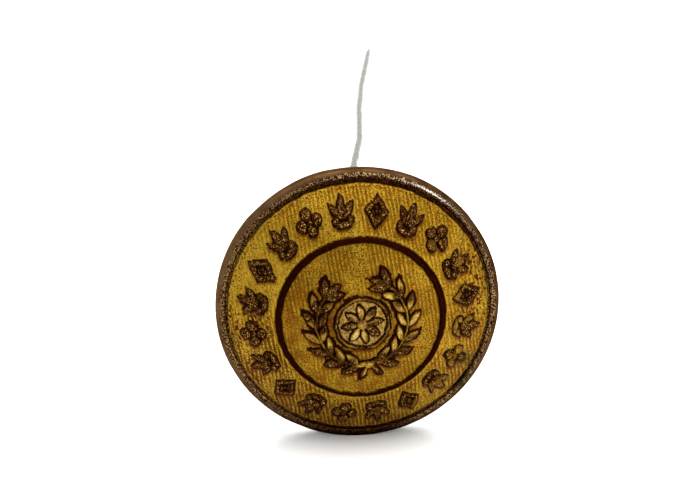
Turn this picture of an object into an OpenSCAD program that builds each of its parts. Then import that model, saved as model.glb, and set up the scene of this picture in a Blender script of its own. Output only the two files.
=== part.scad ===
// Hat pin with an old uniform button for a head, lying on the button's rim and the pin's point.
// The button is drawn flat, its face towards +Z and its widest plane at z = 0, and then laid down.
// The floor is z = 0, the face looks to -Y and slightly up, and the pin runs back along +Y.

/* [Button] */
// Diameter over the rolled rim
button_d = 24; // [22:0.5:28]
// Radius of the domed face
dome_r = 18; // [17:0.5:20]
// Height of the dome's top in front of the rim's widest plane
dome_h = 4.8; // [4.6:0.1:5.2]
// Thickness of the stamped sheet
sheet = 0.4; // [0.3:0.05:0.5]
// Turn of the stamped design about the button's axis
design_turn = 9; // [-45:1:45]

/* [Rim] */
// Rounding of the rim's front edge
shoulder_r = 0.55; // [0.45:0.05:0.6]
// Rounding of the rim's rolled back edge
roll_r = 0.7; // [0.5:0.05:0.75]
// How far the lip reaches in over the back plate
lip_w = 1.5; // [1.2:0.1:2]
// Depth of the groove between the rim and the ground, under the rim's crest
groove_d = 0.28; // [0.1:0.02:0.32]
// Width of that groove, from the ground's edge to the rim's crest
groove_w = 0.35; // [0.3:0.05:0.6]
// Width of the worn flat on which the rim stands
flat_w = 4.2; // [3:0.2:5]

/* [Raised design] */
// Outside diameter of the raised ring
ring_d = 14.1; // [13:0.1:15]
// Width of the raised ring
ring_w = 0.5; // [0.3:0.05:0.8]
// Height of the ring above the ground
ring_rise = 0.22; // [0.1:0.02:0.4]
// Radius of the circle on which the border's motifs stand
border_r = 9; // [8.8:0.1:9.3]
// Number of motifs in the border, in fours
border_count = 20; // [16:4:20]
// Height of the border above the ground
border_rise = 0.3; // [0.1:0.02:0.4]
// Radius of the wreath's two stems
wreath_r = 3.75; // [3.5:0.05:4]
// Pairs of leaves on each stem
leaf_pairs = 7; // [5:1:8]
// Height of the wreath and the rosette above the ground
centre_rise = 0.35; // [0.1:0.02:0.4]
// Number of petals of the rosette
petals = 8; // [5:1:8]

/* [Back plate] */
// Thickness of the back plate
plate_t = 0.35; // [0.25:0.05:0.4]
// How far the middle of the back plate lies behind the rim's widest plane
plate_back = 1.3; // [1.1:0.1:2]

/* [Pin] */
// Diameter of the wire
wire_d = 0.9; // [0.7:0.05:1.2]
// Length of the pin from its pad's front face to its point, along the wire
pin_l = 117; // [100:1:160]
// Length of the tapered point
point_l = 5; // [3:0.5:8]
// Radius of the point's blunt end
tip_r = 0.12; // [0.08:0.02:0.2]
// Lengths of the straight stretches before the last one, from the pad
runs = [17.4, 34.6, 14.6, 14.6]; // [5:0.1:60]
// Turns between the stretches, to the right seen from the front
bends = [7.95, -3.25, 1.4, 1.4]; // [-8:0.05:8]
// Radius of each bend
bend_r = 25; // [15:1:40]
// Diameter of the foot pad
pad_d = 7; // [5:0.5:9]
// Thickness of the foot pad
pad_t = 0.8; // [0.5:0.1:1.2]
// Radius of the brazed fillet between the pad and the wire
fillet_r = 1; // [0.5:0.1:1.5]

/* [Hidden] */
$fn = 96;

// Clearance of the back plate under the lip, and of the pad at the plate
fit_gap = 0.04;
cement_gap = 0.02;

rim_r = button_d / 2;
// Centres of the rim's front rounding and of its rolled back edge
shoulder_at = [rim_r - shoulder_r, 0.5];
roll_at = [rim_r - roll_r, -0.1];
// Centre of the dome's sphere, and where the domed ground ends
dome_z = dome_h - dome_r;
ground_r = rim_r - 1;
foot_r = rim_r - 0.85;
lip_t = roll_r + roll_at[1] * -1 - 0.4;
// The flange of the back plate lies between the lip and this height
flange_z = -roll_r + roll_at[1] + lip_t + fit_gap;
plate_r = foot_r - 0.15;
pan_r = rim_r - lip_w - 1;

wire_r = wire_d / 2;
pad_r = pad_d / 2;
pad_z = -plate_back - cement_gap;

// The wire's stretches: the heading of each one, and the way that each bend adds
last = len(runs);
function sum(v, n) = n <= 0 ? 0 : v[n - 1] + sum(v, n - 1);
function heading(i) = sum(bends, i);
function arc_len(i) = bend_r * abs(bends[i]) * PI / 180;
function arc_along(i) = bend_r * abs(sin(heading(i + 1)) - sin(heading(i)));
last_run = pin_l - sum(runs, last) - sum([for (i = [0:last - 1]) arc_len(i)], last) - point_l;
reach = sum([for (i = [0:last - 1]) runs[i] * cos(heading(i)) + arc_along(i)], last)
    + (last_run + point_l) * cos(heading(last));
tip_z = pad_z - reach;

// The button leans back until its worn flat and the pin's point both touch the floor
flat_d = rim_r - sqrt(rim_r * rim_r - flat_w * flat_w / 4);
lean_arm = roll_at[1] - tip_z;
face_tilt = atan2(roll_at[0], lean_arm)
    + asin((roll_r - flat_d - tip_r) / norm([roll_at[0], lean_arm]));
centre_z = roll_at[0] * cos(face_tilt) - roll_at[1] * sin(face_tilt) + roll_r - flat_d;
front_y = -dome_z * cos(face_tilt) - dome_r - centre_rise / 2;
back_y = -tip_z * cos(face_tilt) + tip_r;

// Points of an arc about a centre, from one angle to another
function arc(at, r, from, to, steps = 8) =
    [for (i = [0:steps]) at + r * [cos(from + (to - from) * i / steps), sin(from + (to - from) * i / steps)]];

// Depth of the dished back plate's rear face at a radius
function dish(r) = -plate_back + (plate_back - roll_r - 0.25) * pow(r / pan_r, 2);

// Moves what is drawn flat to where it lies on the floor
module laid_down() {
    translate([0, -(front_y + back_y) / 2, centre_z])
        rotate([90 - face_tilt, 0, 0])
            children();
}

// A pointed leaf along Y, between two arcs
module leaf(length, width) {
    curve_r = (length * length + width * width) / (4 * width);
    intersection() {
        translate([curve_r - width / 2, 0]) circle(r = curve_r);
        translate([width / 2 - curve_r, 0]) circle(r = curve_r);
    }
}

// Fan of three leaves over two curls and a cross leaf
module palmette() {
    translate([0, 0.34]) leaf(1.8, 0.62);
    for (side = [-1, 1]) {
        translate([side * 0.52, 0.08]) rotate(-side * 38) leaf(1.5, 0.52);
        translate([side * 0.6, -0.6]) circle(r = 0.27);
    }
    translate([0, -0.95]) rotate(90) leaf(1.5, 0.46);
}

module diamond(half_w, half_h) {
    polygon([[half_w, 0], [0, half_h], [-half_w, 0], [0, -half_h]]);
}

// Open diamond with a bead in it
module lozenge() {
    difference() {
        diamond(0.95, 1.2);
        diamond(0.5, 0.66);
    }
    circle(r = 0.17);
}

module quatrefoil() {
    for (quarter = [0:90:270]) {
        rotate(quarter) translate([0.64, 0]) circle(r = 0.42);
    }
    circle(r = 0.36);
}

// Ring of motifs between the raised ring and the rim: palmettes, with lozenges and quatrefoils between
module border() {
    for (i = [0:border_count - 1]) {
        rotate(-i * 360 / border_count) translate([0, border_r]) {
            if (i % 2 == 0) palmette();
            if (i % 4 == 1) lozenge();
            if (i % 4 == 3) quatrefoil();
        }
    }
}

// One stem of the wreath with its paired leaves, growing up the right side from the tie
module laurel_stem() {
    first = 16;
    step = 142 / leaf_pairs;
    intersection() {
        difference() {
            circle(r = wreath_r + 0.11);
            circle(r = wreath_r - 0.11);
        }
        polygon([[0, 0], [0, -6], [6, -6], [6, 5], [6 * sin(first + 130), -6 * cos(first + 130)]]);
    }
    for (k = [0:leaf_pairs - 1]) {
        rotate(first + k * step) translate([0, -wreath_r]) {
            for (side = [-1, 1]) {
                translate([0.45, side * 0.52]) rotate(-90 + side * 33) leaf(1.6, 0.62);
            }
        }
    }
    rotate(first + leaf_pairs * step - 8) translate([0, -wreath_r]) rotate(-86) leaf(1.5, 0.5);
}

// Ribbon that ties the two stems
module tie() {
    translate([0, -wreath_r]) {
        circle(r = 0.36);
        for (side = [-1, 1]) {
            translate([side * 0.62, 0.14]) rotate(side * 70) leaf(1.1, 0.5);
            translate([side * 0.5, -0.6]) rotate(side * 38) leaf(1.4, 0.4);
        }
    }
}

module wreath() {
    laurel_stem();
    mirror([1, 0]) laurel_stem();
    tie();
}

// Petals round a boss, in a thin ring
module rosette() {
    for (k = [0:petals - 1]) {
        rotate(k * 360 / petals) translate([0, 1.02]) leaf(1.35, 0.58);
    }
    circle(r = 0.45);
    difference() {
        circle(r = 2.26);
        circle(r = 2.04);
    }
}

// Raises a flat outline above the domed ground, its top curved as the dome is
module raised(rise) {
    difference() {
        intersection() {
            linear_extrude(dome_h + 1) children();
            translate([0, 0, dome_z]) sphere(r = dome_r + rise);
        }
        translate([0, 0, dome_z]) sphere(r = dome_r - sheet / 2);
    }
}

// Domed sheet, from the middle to the rim's inner side
module dome() {
    difference() {
        intersection() {
            translate([0, 0, dome_z]) sphere(r = dome_r);
            cylinder(r = foot_r, h = dome_h + 1);
        }
        translate([0, 0, dome_z]) sphere(r = dome_r - sheet);
    }
}

// Rolled rim with the lip that holds the back plate
module rim() {
    lip_z = roll_at[1] - roll_r;
    lip_r = roll_at[0] - lip_w / 2;
    rotate_extrude() polygon(concat(
        [[ground_r - 0.2, 0.95]],
        arc(shoulder_at, shoulder_r, 150, 0),
        arc(roll_at, roll_r, 0, -90),
        [[lip_r, lip_z], [lip_r - 0.1, lip_z + 0.1], [lip_r - 0.1, lip_z + lip_t - 0.08]],
        [[lip_r - 0.02, lip_z + lip_t], [foot_r, lip_z + lip_t], [foot_r, 0.05], [ground_r - 0.2, 0.75]]
    ));
}

// Groove that parts the rim from the ground: a step down, a slope and the rim's inner side
module groove() {
    crest_z = shoulder_at[1] + shoulder_r;
    outer_r = ground_r + 0.3;
    inner_r = outer_r - groove_w;
    edge_z = dome_z + sqrt(dome_r * dome_r - inner_r * inner_r);
    rotate_extrude() polygon([
        [inner_r, edge_z + 0.3],
        [inner_r, edge_z - 0.1],
        [inner_r + 0.06, edge_z - 0.18],
        [outer_r - 0.21, crest_z - groove_d],
        [outer_r - 0.16, crest_z - groove_d],
        [outer_r, crest_z + 0.1],
        [outer_r, edge_z + 0.3]
    ]);
}

// What lies under the floor, which takes the worn flat off the rim
module below_floor() {
    translate([-rim_r, front_y - back_y, -rim_r]) cube([2 * rim_r, 2 * back_y, rim_r]);
}

module button_face() {
    color("darkgoldenrod") {
        difference() {
            laid_down() {
                dome();
                rim();
            }
            laid_down() groove();
            below_floor();
        }
        laid_down() rotate(design_turn) {
            raised(ring_rise) difference() {
                circle(d = ring_d);
                circle(d = ring_d - 2 * ring_w);
            }
            raised(border_rise) border();
            raised(centre_rise) {
                wreath();
                rosette();
            }
        }
    }
}

// Closing plate: a flat flange under the lip round a dished pan
module button_back() {
    pan = [for (i = [0:6]) pan_r * i / 6];
    color("goldenrod") laid_down() rotate_extrude() polygon(concat(
        [for (r = pan) [r, dish(r)]],
        [[pan_r + 0.3, flange_z - 0.1], [pan_r + 0.5, flange_z], [plate_r, flange_z]],
        [[plate_r, flange_z + plate_t], [pan_r + 0.3, flange_z + plate_t]],
        [for (i = [6:-1:0]) [pan[i], dish(pan[i]) + plate_t]]
    ));
}

// Foot pad with the brazed fillet that runs up the wire
module foot() {
    edge = pad_t / 4;
    rotate_extrude() polygon(concat(
        [[0, 0], [pad_r - edge, 0]],
        arc([pad_r - edge, edge], edge, -90, 0, 4),
        arc([pad_r - edge, pad_t - edge], edge, 0, 90, 4),
        arc([wire_r + fillet_r, pad_t + fillet_r], fillet_r, -90, -180),
        [[0, pad_t + fillet_r]]
    ));
}

// Bend of the wire to the right, as it starts along +Z
module bend_right(turn) {
    translate([bend_r, 0, 0]) rotate([90, 0, 180])
        rotate_extrude(angle = turn) translate([bend_r, 0]) circle(r = wire_r);
}

module bend(turn) {
    if (turn < 0) mirror([1, 0, 0]) bend_right(-turn);
    else bend_right(turn);
}

// Tapered point with a blunt end
module point() {
    cylinder(r1 = wire_r, r2 = tip_r, h = point_l);
    translate([0, 0, point_l]) sphere(r = tip_r);
}

// The wire from one stretch on; the first stretch starts inside the foot
module wire(i = 0) {
    start = i == 0 ? pad_t + fillet_r : 0;
    run = i < last ? runs[i] : last_run;
    translate([0, 0, start]) cylinder(r = wire_r, h = run - start);
    translate([0, 0, run]) {
        if (i < last) {
            bend(bends[i]);
            translate([sign(bends[i]) * bend_r * (1 - cos(bends[i])), 0, bend_r * sin(abs(bends[i]))])
                rotate([0, bends[i], 0]) wire(i + 1);
        } else {
            point();
        }
    }
}

module pin_stem() {
    color("silver") laid_down() translate([0, 0, pad_z]) rotate([180, 0, 0]) {
        foot();
        wire();
    }
}

button_face();
button_back();
pin_stem();
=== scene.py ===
"""Looks of a hat pin whose head is an old gilt uniform button.

The button is worked out flat, in millimetres, its face towards +Z and its widest
plane at z = 0. Repose lays it down in the CAD model's frame. Angles round the
button are in degrees, counterclockwise from the right as its face is seen.
"""

import logging
import math
from dataclasses import dataclass, field, replace
from enum import Enum

import bpy
import numpy as np
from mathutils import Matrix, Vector
from mathutils.geometry import delaunay_2d_cdt


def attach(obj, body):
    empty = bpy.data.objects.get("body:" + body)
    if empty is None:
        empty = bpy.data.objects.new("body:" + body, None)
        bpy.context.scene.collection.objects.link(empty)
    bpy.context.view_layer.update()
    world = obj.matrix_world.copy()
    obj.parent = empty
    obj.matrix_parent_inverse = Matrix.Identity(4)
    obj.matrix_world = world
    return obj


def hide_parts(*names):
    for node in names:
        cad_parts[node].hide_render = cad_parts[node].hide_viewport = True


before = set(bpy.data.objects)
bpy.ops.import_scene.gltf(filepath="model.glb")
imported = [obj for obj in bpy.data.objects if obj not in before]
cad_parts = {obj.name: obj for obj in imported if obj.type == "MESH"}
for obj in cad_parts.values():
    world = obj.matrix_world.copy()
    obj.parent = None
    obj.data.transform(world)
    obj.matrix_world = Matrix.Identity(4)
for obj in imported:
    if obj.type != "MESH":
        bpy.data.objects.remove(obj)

Socket = bpy.types.NodeSocket
Colour = tuple[float, float, float]
Section = list[tuple[float, float]]
Faces = list[tuple[int, ...]]

LOG = logging.getLogger("hat_pin")
MM = 0.001
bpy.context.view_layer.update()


# Sizes, repeated from the part's source


@dataclass(frozen=True)
class ButtonSizes:
    """Driving sizes of the button, in millimetres and degrees."""

    rim_r: float = 12.0
    dome_r: float = 18.0
    dome_h: float = 4.8
    sheet: float = 0.4
    design_turn: float = 9.0
    shoulder_r: float = 0.55
    shoulder_z: float = 0.5
    roll_r: float = 0.7
    roll_z: float = -0.1
    lip_w: float = 1.5
    lip_t: float = 0.4
    groove_w: float = 0.35
    flat_w: float = 4.2
    ring_r: float = 7.05
    ring_w: float = 0.5
    ring_rise: float = 0.22
    border_r: float = 9.0
    border_count: int = 20
    border_rise: float = 0.3
    wreath_r: float = 3.75
    leaf_pairs: int = 7
    centre_rise: float = 0.35
    petals: int = 8
    plate_t: float = 0.35
    plate_back: float = 1.3
    fit_gap: float = 0.04
    cement_gap: float = 0.02
    rim_w: float = 1.0
    groove_out: float = 0.3
    wall_t: float = 0.85
    flange_w: float = 1.0
    dish_end: float = 0.25

    @property
    def dome_z(self) -> float:
        """Height of the centre of the dome's sphere."""
        return self.dome_h - self.dome_r

    @property
    def ground_r(self) -> float:
        """Radius at which the domed ground ends."""
        return self.rim_r - self.rim_w

    @property
    def groove_r(self) -> float:
        """Radius at which the groove inside the rim begins."""
        return self.ground_r + self.groove_out - self.groove_w

    @property
    def foot_r(self) -> float:
        """Radius of the rim's inner wall."""
        return self.rim_r - self.wall_t

    @property
    def pan_r(self) -> float:
        """Radius of the back plate's dished pan."""
        return self.rim_r - self.lip_w - self.flange_w

    @property
    def shoulder_c(self) -> float:
        """Radius of the circle of the rim's front rounding."""
        return self.rim_r - self.shoulder_r

    @property
    def roll_c(self) -> float:
        """Radius of the circle of the rim's rolled back edge."""
        return self.rim_r - self.roll_r

    @property
    def flat_d(self) -> float:
        """Depth of the worn flat on which the rim stands."""
        return self.rim_r - math.sqrt(self.rim_r**2 - self.flat_w**2 / 4)

    @property
    def flange_z(self) -> float:
        """Height of the rear of the back plate's flange."""
        return self.roll_z - self.roll_r + self.lip_t + self.fit_gap

    def dome_at(self, r: float, inset: float = 0.0) -> float:
        """Height of the dome at a radius, or of a dome that lies further in."""
        return self.dome_z + math.sqrt((self.dome_r - inset) ** 2 - r * r)

    def dish_at(self, r: float) -> float:
        """Height of the back plate's dished rear face at a radius."""
        rest = self.plate_back - self.roll_r - self.dish_end
        return -self.plate_back + rest * (r / self.pan_r) ** 2


@dataclass(frozen=True)
class PinSizes:
    """Driving sizes of the pin, in millimetres and degrees."""

    wire_d: float = 0.9
    pin_l: float = 117.0
    point_l: float = 5.0
    tip_r: float = 0.12
    runs: tuple[float, ...] = (17.4, 34.6, 14.6, 14.6)
    bends: tuple[float, ...] = (7.95, -3.25, 1.4, 1.4)
    bend_r: float = 25.0
    bend_steps: int = 6
    point_steps: int = 8
    pad_d: float = 7.0
    pad_t: float = 0.8
    fillet_r: float = 1.0

    @property
    def wire_r(self) -> float:
        """Radius of the wire."""
        return self.wire_d / 2

    @property
    def last_run(self) -> float:
        """Length of the last straight stretch, before the point."""
        arcs = sum(self.bend_r * abs(math.radians(turn)) for turn in self.bends)
        return self.pin_l - sum(self.runs) - arcs - self.point_l

    def route(self, step: float = 1.0) -> list[tuple[float, float, float, float]]:
        """Follows the wire from the pad to the start of its blunt end.

        Args:
            step: longest distance between two places on a straight stretch.

        Returns:
            Sideways and rearward place, heading in radians and length so far.
        """
        places = [(0.0, 0.0, 0.0, 0.0)]

        def go(length: float, heading: float) -> None:
            """Adds a straight stretch.

            Args:
                length: its length.
                heading: its heading, in radians.
            """
            count = max(1, math.ceil(length / step))
            for _ in range(count):
                x, y, _, so_far = places[-1]
                x += math.sin(heading) * length / count
                y += math.cos(heading) * length / count
                places.append((x, y, heading, so_far + length / count))

        heading = 0.0
        for run, turn in zip(self.runs, self.bends):
            go(run, heading)
            bit = math.radians(turn) / self.bend_steps
            for _ in range(self.bend_steps):
                go(self.bend_r * abs(bit), heading + bit / 2)
                heading += bit
        go(self.last_run, heading)
        for _ in range(self.point_steps):
            go(self.point_l / self.point_steps, heading)
        return places


@dataclass(frozen=True)
class Repose:
    """How the pin lies: on the flat of the button's rim and on its point."""

    button: ButtonSizes
    pin: PinSizes

    @property
    def pad_z(self) -> float:
        """Height of the foot pad's front face in the flat drawing."""
        return -self.button.plate_back - self.button.cement_gap

    @property
    def tip_z(self) -> float:
        """Height of the centre of the pin's blunt end in the flat drawing."""
        return self.pad_z - self.pin.route()[-1][1]

    @property
    def lean(self) -> float:
        """How far the face leans back.

        Returns:
            The angle in radians.
        """
        button, pin = self.button, self.pin
        arm = button.roll_z - self.tip_z
        drop = button.roll_r - button.flat_d - pin.tip_r
        reach = math.hypot(button.roll_c, arm)
        return math.atan2(button.roll_c, arm) + math.asin(drop / reach)

    @property
    def centre_z(self) -> float:
        """Height of the button's centre above the floor.

        Returns:
            The height in millimetres.
        """
        button, lean = self.button, self.lean
        level = button.roll_c * math.cos(lean) - button.roll_z * math.sin(lean)
        return level + button.roll_r - button.flat_d

    @property
    def shift(self) -> float:
        """How far the button's centre lies behind the origin.

        Returns:
            The distance in millimetres, below 0 because it lies in front.
        """
        button, lean = self.button, self.lean
        front = -button.dome_z * math.cos(lean) - button.dome_r - button.centre_rise / 2
        back = -self.tip_z * math.cos(lean) + self.pin.tip_r
        return -(front + back) / 2

    def to_world(self, points: np.ndarray) -> np.ndarray:
        """Lays points of the flat drawing down on the floor.

        Args:
            points: rows of x, y and z in millimetres.

        Returns:
            Rows of x, y and z in metres, none of them under the floor.
        """
        x, y, z = np.asarray(points, float).T
        sin, cos = math.sin(self.lean), math.cos(self.lean)
        back = self.shift + y * sin - z * cos
        up = np.maximum(self.centre_z + y * cos + z * sin, 0.0)
        return np.stack([x, back, up], 1) * MM


# Unevenness


@dataclass(frozen=True)
class Unevenness:
    """Smooth random waves over a plane, the same at every run."""

    cell: float
    seed: int
    count: int = 256
    start: tuple[float, float] = (97.3, 61.7)

    def at(self, x: np.ndarray, y: np.ndarray) -> np.ndarray:
        """Values between 0 and 1 at the given places.

        Args:
            x: first coordinates.
            y: second coordinates.

        Returns:
            One value for each place.
        """
        table = np.random.default_rng(self.seed).random((self.count, self.count))
        u = np.asarray(x) / self.cell + self.start[0]
        v = np.asarray(y) / self.cell + self.start[1]
        i, j = np.floor(u).astype(int), np.floor(v).astype(int)
        fu, fv = u - i, v - j
        fu, fv = fu * fu * (3 - 2 * fu), fv * fv * (3 - 2 * fv)
        i_next, j_next = (i + 1) % self.count, (j + 1) % self.count
        i, j = i % self.count, j % self.count
        low = table[i, j] * (1 - fu) + table[i_next, j] * fu
        high = table[i, j_next] * (1 - fu) + table[i_next, j_next] * fu
        return low * (1 - fv) + high * fv


def smooth(low: float, high: float, value: np.ndarray) -> np.ndarray:
    """Rises smoothly from 0 to 1 as a value goes from low to high."""
    t = np.clip((value - low) / (high - low), 0.0, 1.0)
    return t * t * (3 - 2 * t)


@dataclass(frozen=True)
class Edge:
    """A soft edge: nothing up to the low value, full strength from the high one."""

    low: float
    high: float
    strength: float = 1.0

    def at(self, value: np.ndarray) -> np.ndarray:
        """Strength at values."""
        return self.strength * smooth(self.low, self.high, value)


@dataclass(frozen=True)
class Peak:
    """A soft peak: full strength at the middle value, less on both sides."""

    middle: float
    width: float
    strength: float = 1.0

    def at(self, value: np.ndarray) -> np.ndarray:
        """Strength at values."""
        return self.strength * np.exp(-(((value - self.middle) / self.width) ** 2))


@dataclass(frozen=True)
class Patches:
    """Random patches of a size in millimetres, with soft edges."""

    size: float
    seed: int
    edge: Edge

    def at(self, x: np.ndarray, y: np.ndarray) -> np.ndarray:
        """Strength at places."""
        return self.edge.at(Unevenness(self.size, self.seed).at(x, y))


@dataclass(frozen=True)
class Stretch:
    """A stretch round the button on which something is strong, with soft ends."""

    middle: float
    width: float
    strength: float = 1.0
    power: int = 2

    def at(self, angle: np.ndarray) -> np.ndarray:
        """Strength at angles round the button."""
        off = (angle - self.middle + 180) % 360 - 180
        return self.strength * np.exp(-((off / self.width) ** self.power))


def along(stretches: tuple[Stretch, ...], angle: np.ndarray) -> np.ndarray:
    """Strength of several stretches together, at angles round the button."""
    return sum(stretch.at(angle) for stretch in stretches)


@dataclass(frozen=True)
class Spot:
    """A soft spot on the face, by the distance to the right and up from its middle."""

    across: Peak
    level: Peak

    def at(self, right: np.ndarray, up: np.ndarray) -> np.ndarray:
        """Strength at places of the face."""
        return self.across.at(right) * self.level.at(up)


@dataclass(frozen=True)
class Pocket:
    """A part of the border, by the distance outwards and upwards from the middle."""

    inner: Edge
    lower: Edge
    upper: Edge

    def at(self, out: np.ndarray, up: np.ndarray) -> np.ndarray:
        """Strength at places of the face."""
        return self.inner.at(out) * self.lower.at(up) * (1 - self.upper.at(up))


# The stamped design


class Shape(Enum):
    """Outline of a raised figure."""

    LEAF = "leaf"
    DISC = "disc"
    HOOP = "hoop"
    OPEN_DIAMOND = "open diamond"


class Crown(Enum):
    """Section of a raised figure."""

    ROUND = "round"
    VEINED = "veined"


@dataclass(frozen=True)
class Chisel:
    """How a figure is cut: widths in millimetres, heights as shares of its rise."""

    bank: Edge = Edge(-0.02, 0.11)
    shoulder: float = 0.82
    least_half: float = 0.12
    vein: Peak = Peak(0.0, 0.06, 0.42)
    vein_ends: Edge = Edge(0.04, 0.14)
    hole: tuple[float, float] = (0.53, 0.55)
    hole_slope: float = 0.54


CHISEL = Chisel()


@dataclass(frozen=True)
class Figure:
    """One raised figure: length along its own Y, width across."""

    shape: Shape
    length: float
    width: float
    x: float = 0.0
    y: float = 0.0
    turn: float = 0.0
    crown: Crown = Crown.ROUND
    opening: float = 0.0

    def moved(self, x: float, y: float) -> "Figure":
        """The figure moved by x and y."""
        return replace(self, x=self.x + x, y=self.y + y)

    def spun(self, turn: float) -> "Figure":
        """The figure turned about the origin.

        Args:
            turn: how far, in degrees counterclockwise.

        Returns:
            The turned figure.
        """
        sin, cos = math.sin(math.radians(turn)), math.cos(math.radians(turn))
        x, y = self.x * cos - self.y * sin, self.x * sin + self.y * cos
        return replace(self, x=x, y=y, turn=self.turn + turn)

    def mirrored(self) -> "Figure":
        """The figure seen in a mirror along Y."""
        return replace(self, x=-self.x, turn=-self.turn)

    @property
    def half(self) -> float:
        """Half the width of the figure's own body."""
        return min(self.length, self.width) / 2

    def depth(self, x: np.ndarray, y: np.ndarray) -> tuple[np.ndarray, np.ndarray]:
        """How deep places lie inside the outline.

        Args:
            x: first coordinates of the places.
            y: second coordinates of the places.

        Returns:
            Distance to the outline, below 0 outside, and distance to the figure's middle line.
        """
        sin, cos = math.sin(math.radians(self.turn)), math.cos(math.radians(self.turn))
        u = (x - self.x) * cos + (y - self.y) * sin
        v = (y - self.y) * cos - (x - self.x) * sin
        r = np.hypot(u, v)
        if self.shape is Shape.LEAF:
            bow = (self.length**2 + self.width**2) / (4 * self.width)
            return bow - np.hypot(np.abs(u) + bow - self.width / 2, v), np.abs(u)
        if self.shape is Shape.DISC:
            return self.length / 2 - r, r
        if self.shape is Shape.HOOP:
            off = np.abs(r - self.length / 2)
            inside = self.width / 2 - off
            if self.opening:
                past = np.degrees(np.abs(np.arctan2(u, v))) - self.opening / 2
                inside = np.minimum(inside, np.radians(past) * self.length / 2)
            return inside, off
        half_w, half_h = self.width / 2, self.length / 2
        slope = half_w * half_h / math.hypot(half_w, half_h)
        inside = (1 - np.abs(u) / half_w - np.abs(v) / half_h) * slope
        hole_w, hole_h = CHISEL.hole[0] * half_w, CHISEL.hole[1] * half_h
        hole = (1 - np.abs(u) / hole_w - np.abs(v) / hole_h) * CHISEL.hole_slope * slope
        return np.minimum(inside, -hole), np.abs(u)

    def height(self, inside: np.ndarray, middle: np.ndarray) -> np.ndarray:
        """Height of the figure's section, as a share of its full rise.

        Args:
            inside: distance to the outline.
            middle: distance to the middle line.

        Returns:
            A number between 0 and 1 for each place.
        """
        round_off = np.clip(inside / max(self.half, CHISEL.least_half), 0.0, 1.0)
        crown = CHISEL.shoulder + (1 - CHISEL.shoulder) * np.sqrt(1 - (1 - round_off) ** 2)
        if self.crown is Crown.VEINED:
            crown = crown - CHISEL.vein.at(middle) * CHISEL.vein_ends.at(inside)
        return CHISEL.bank.at(inside) * crown


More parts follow.
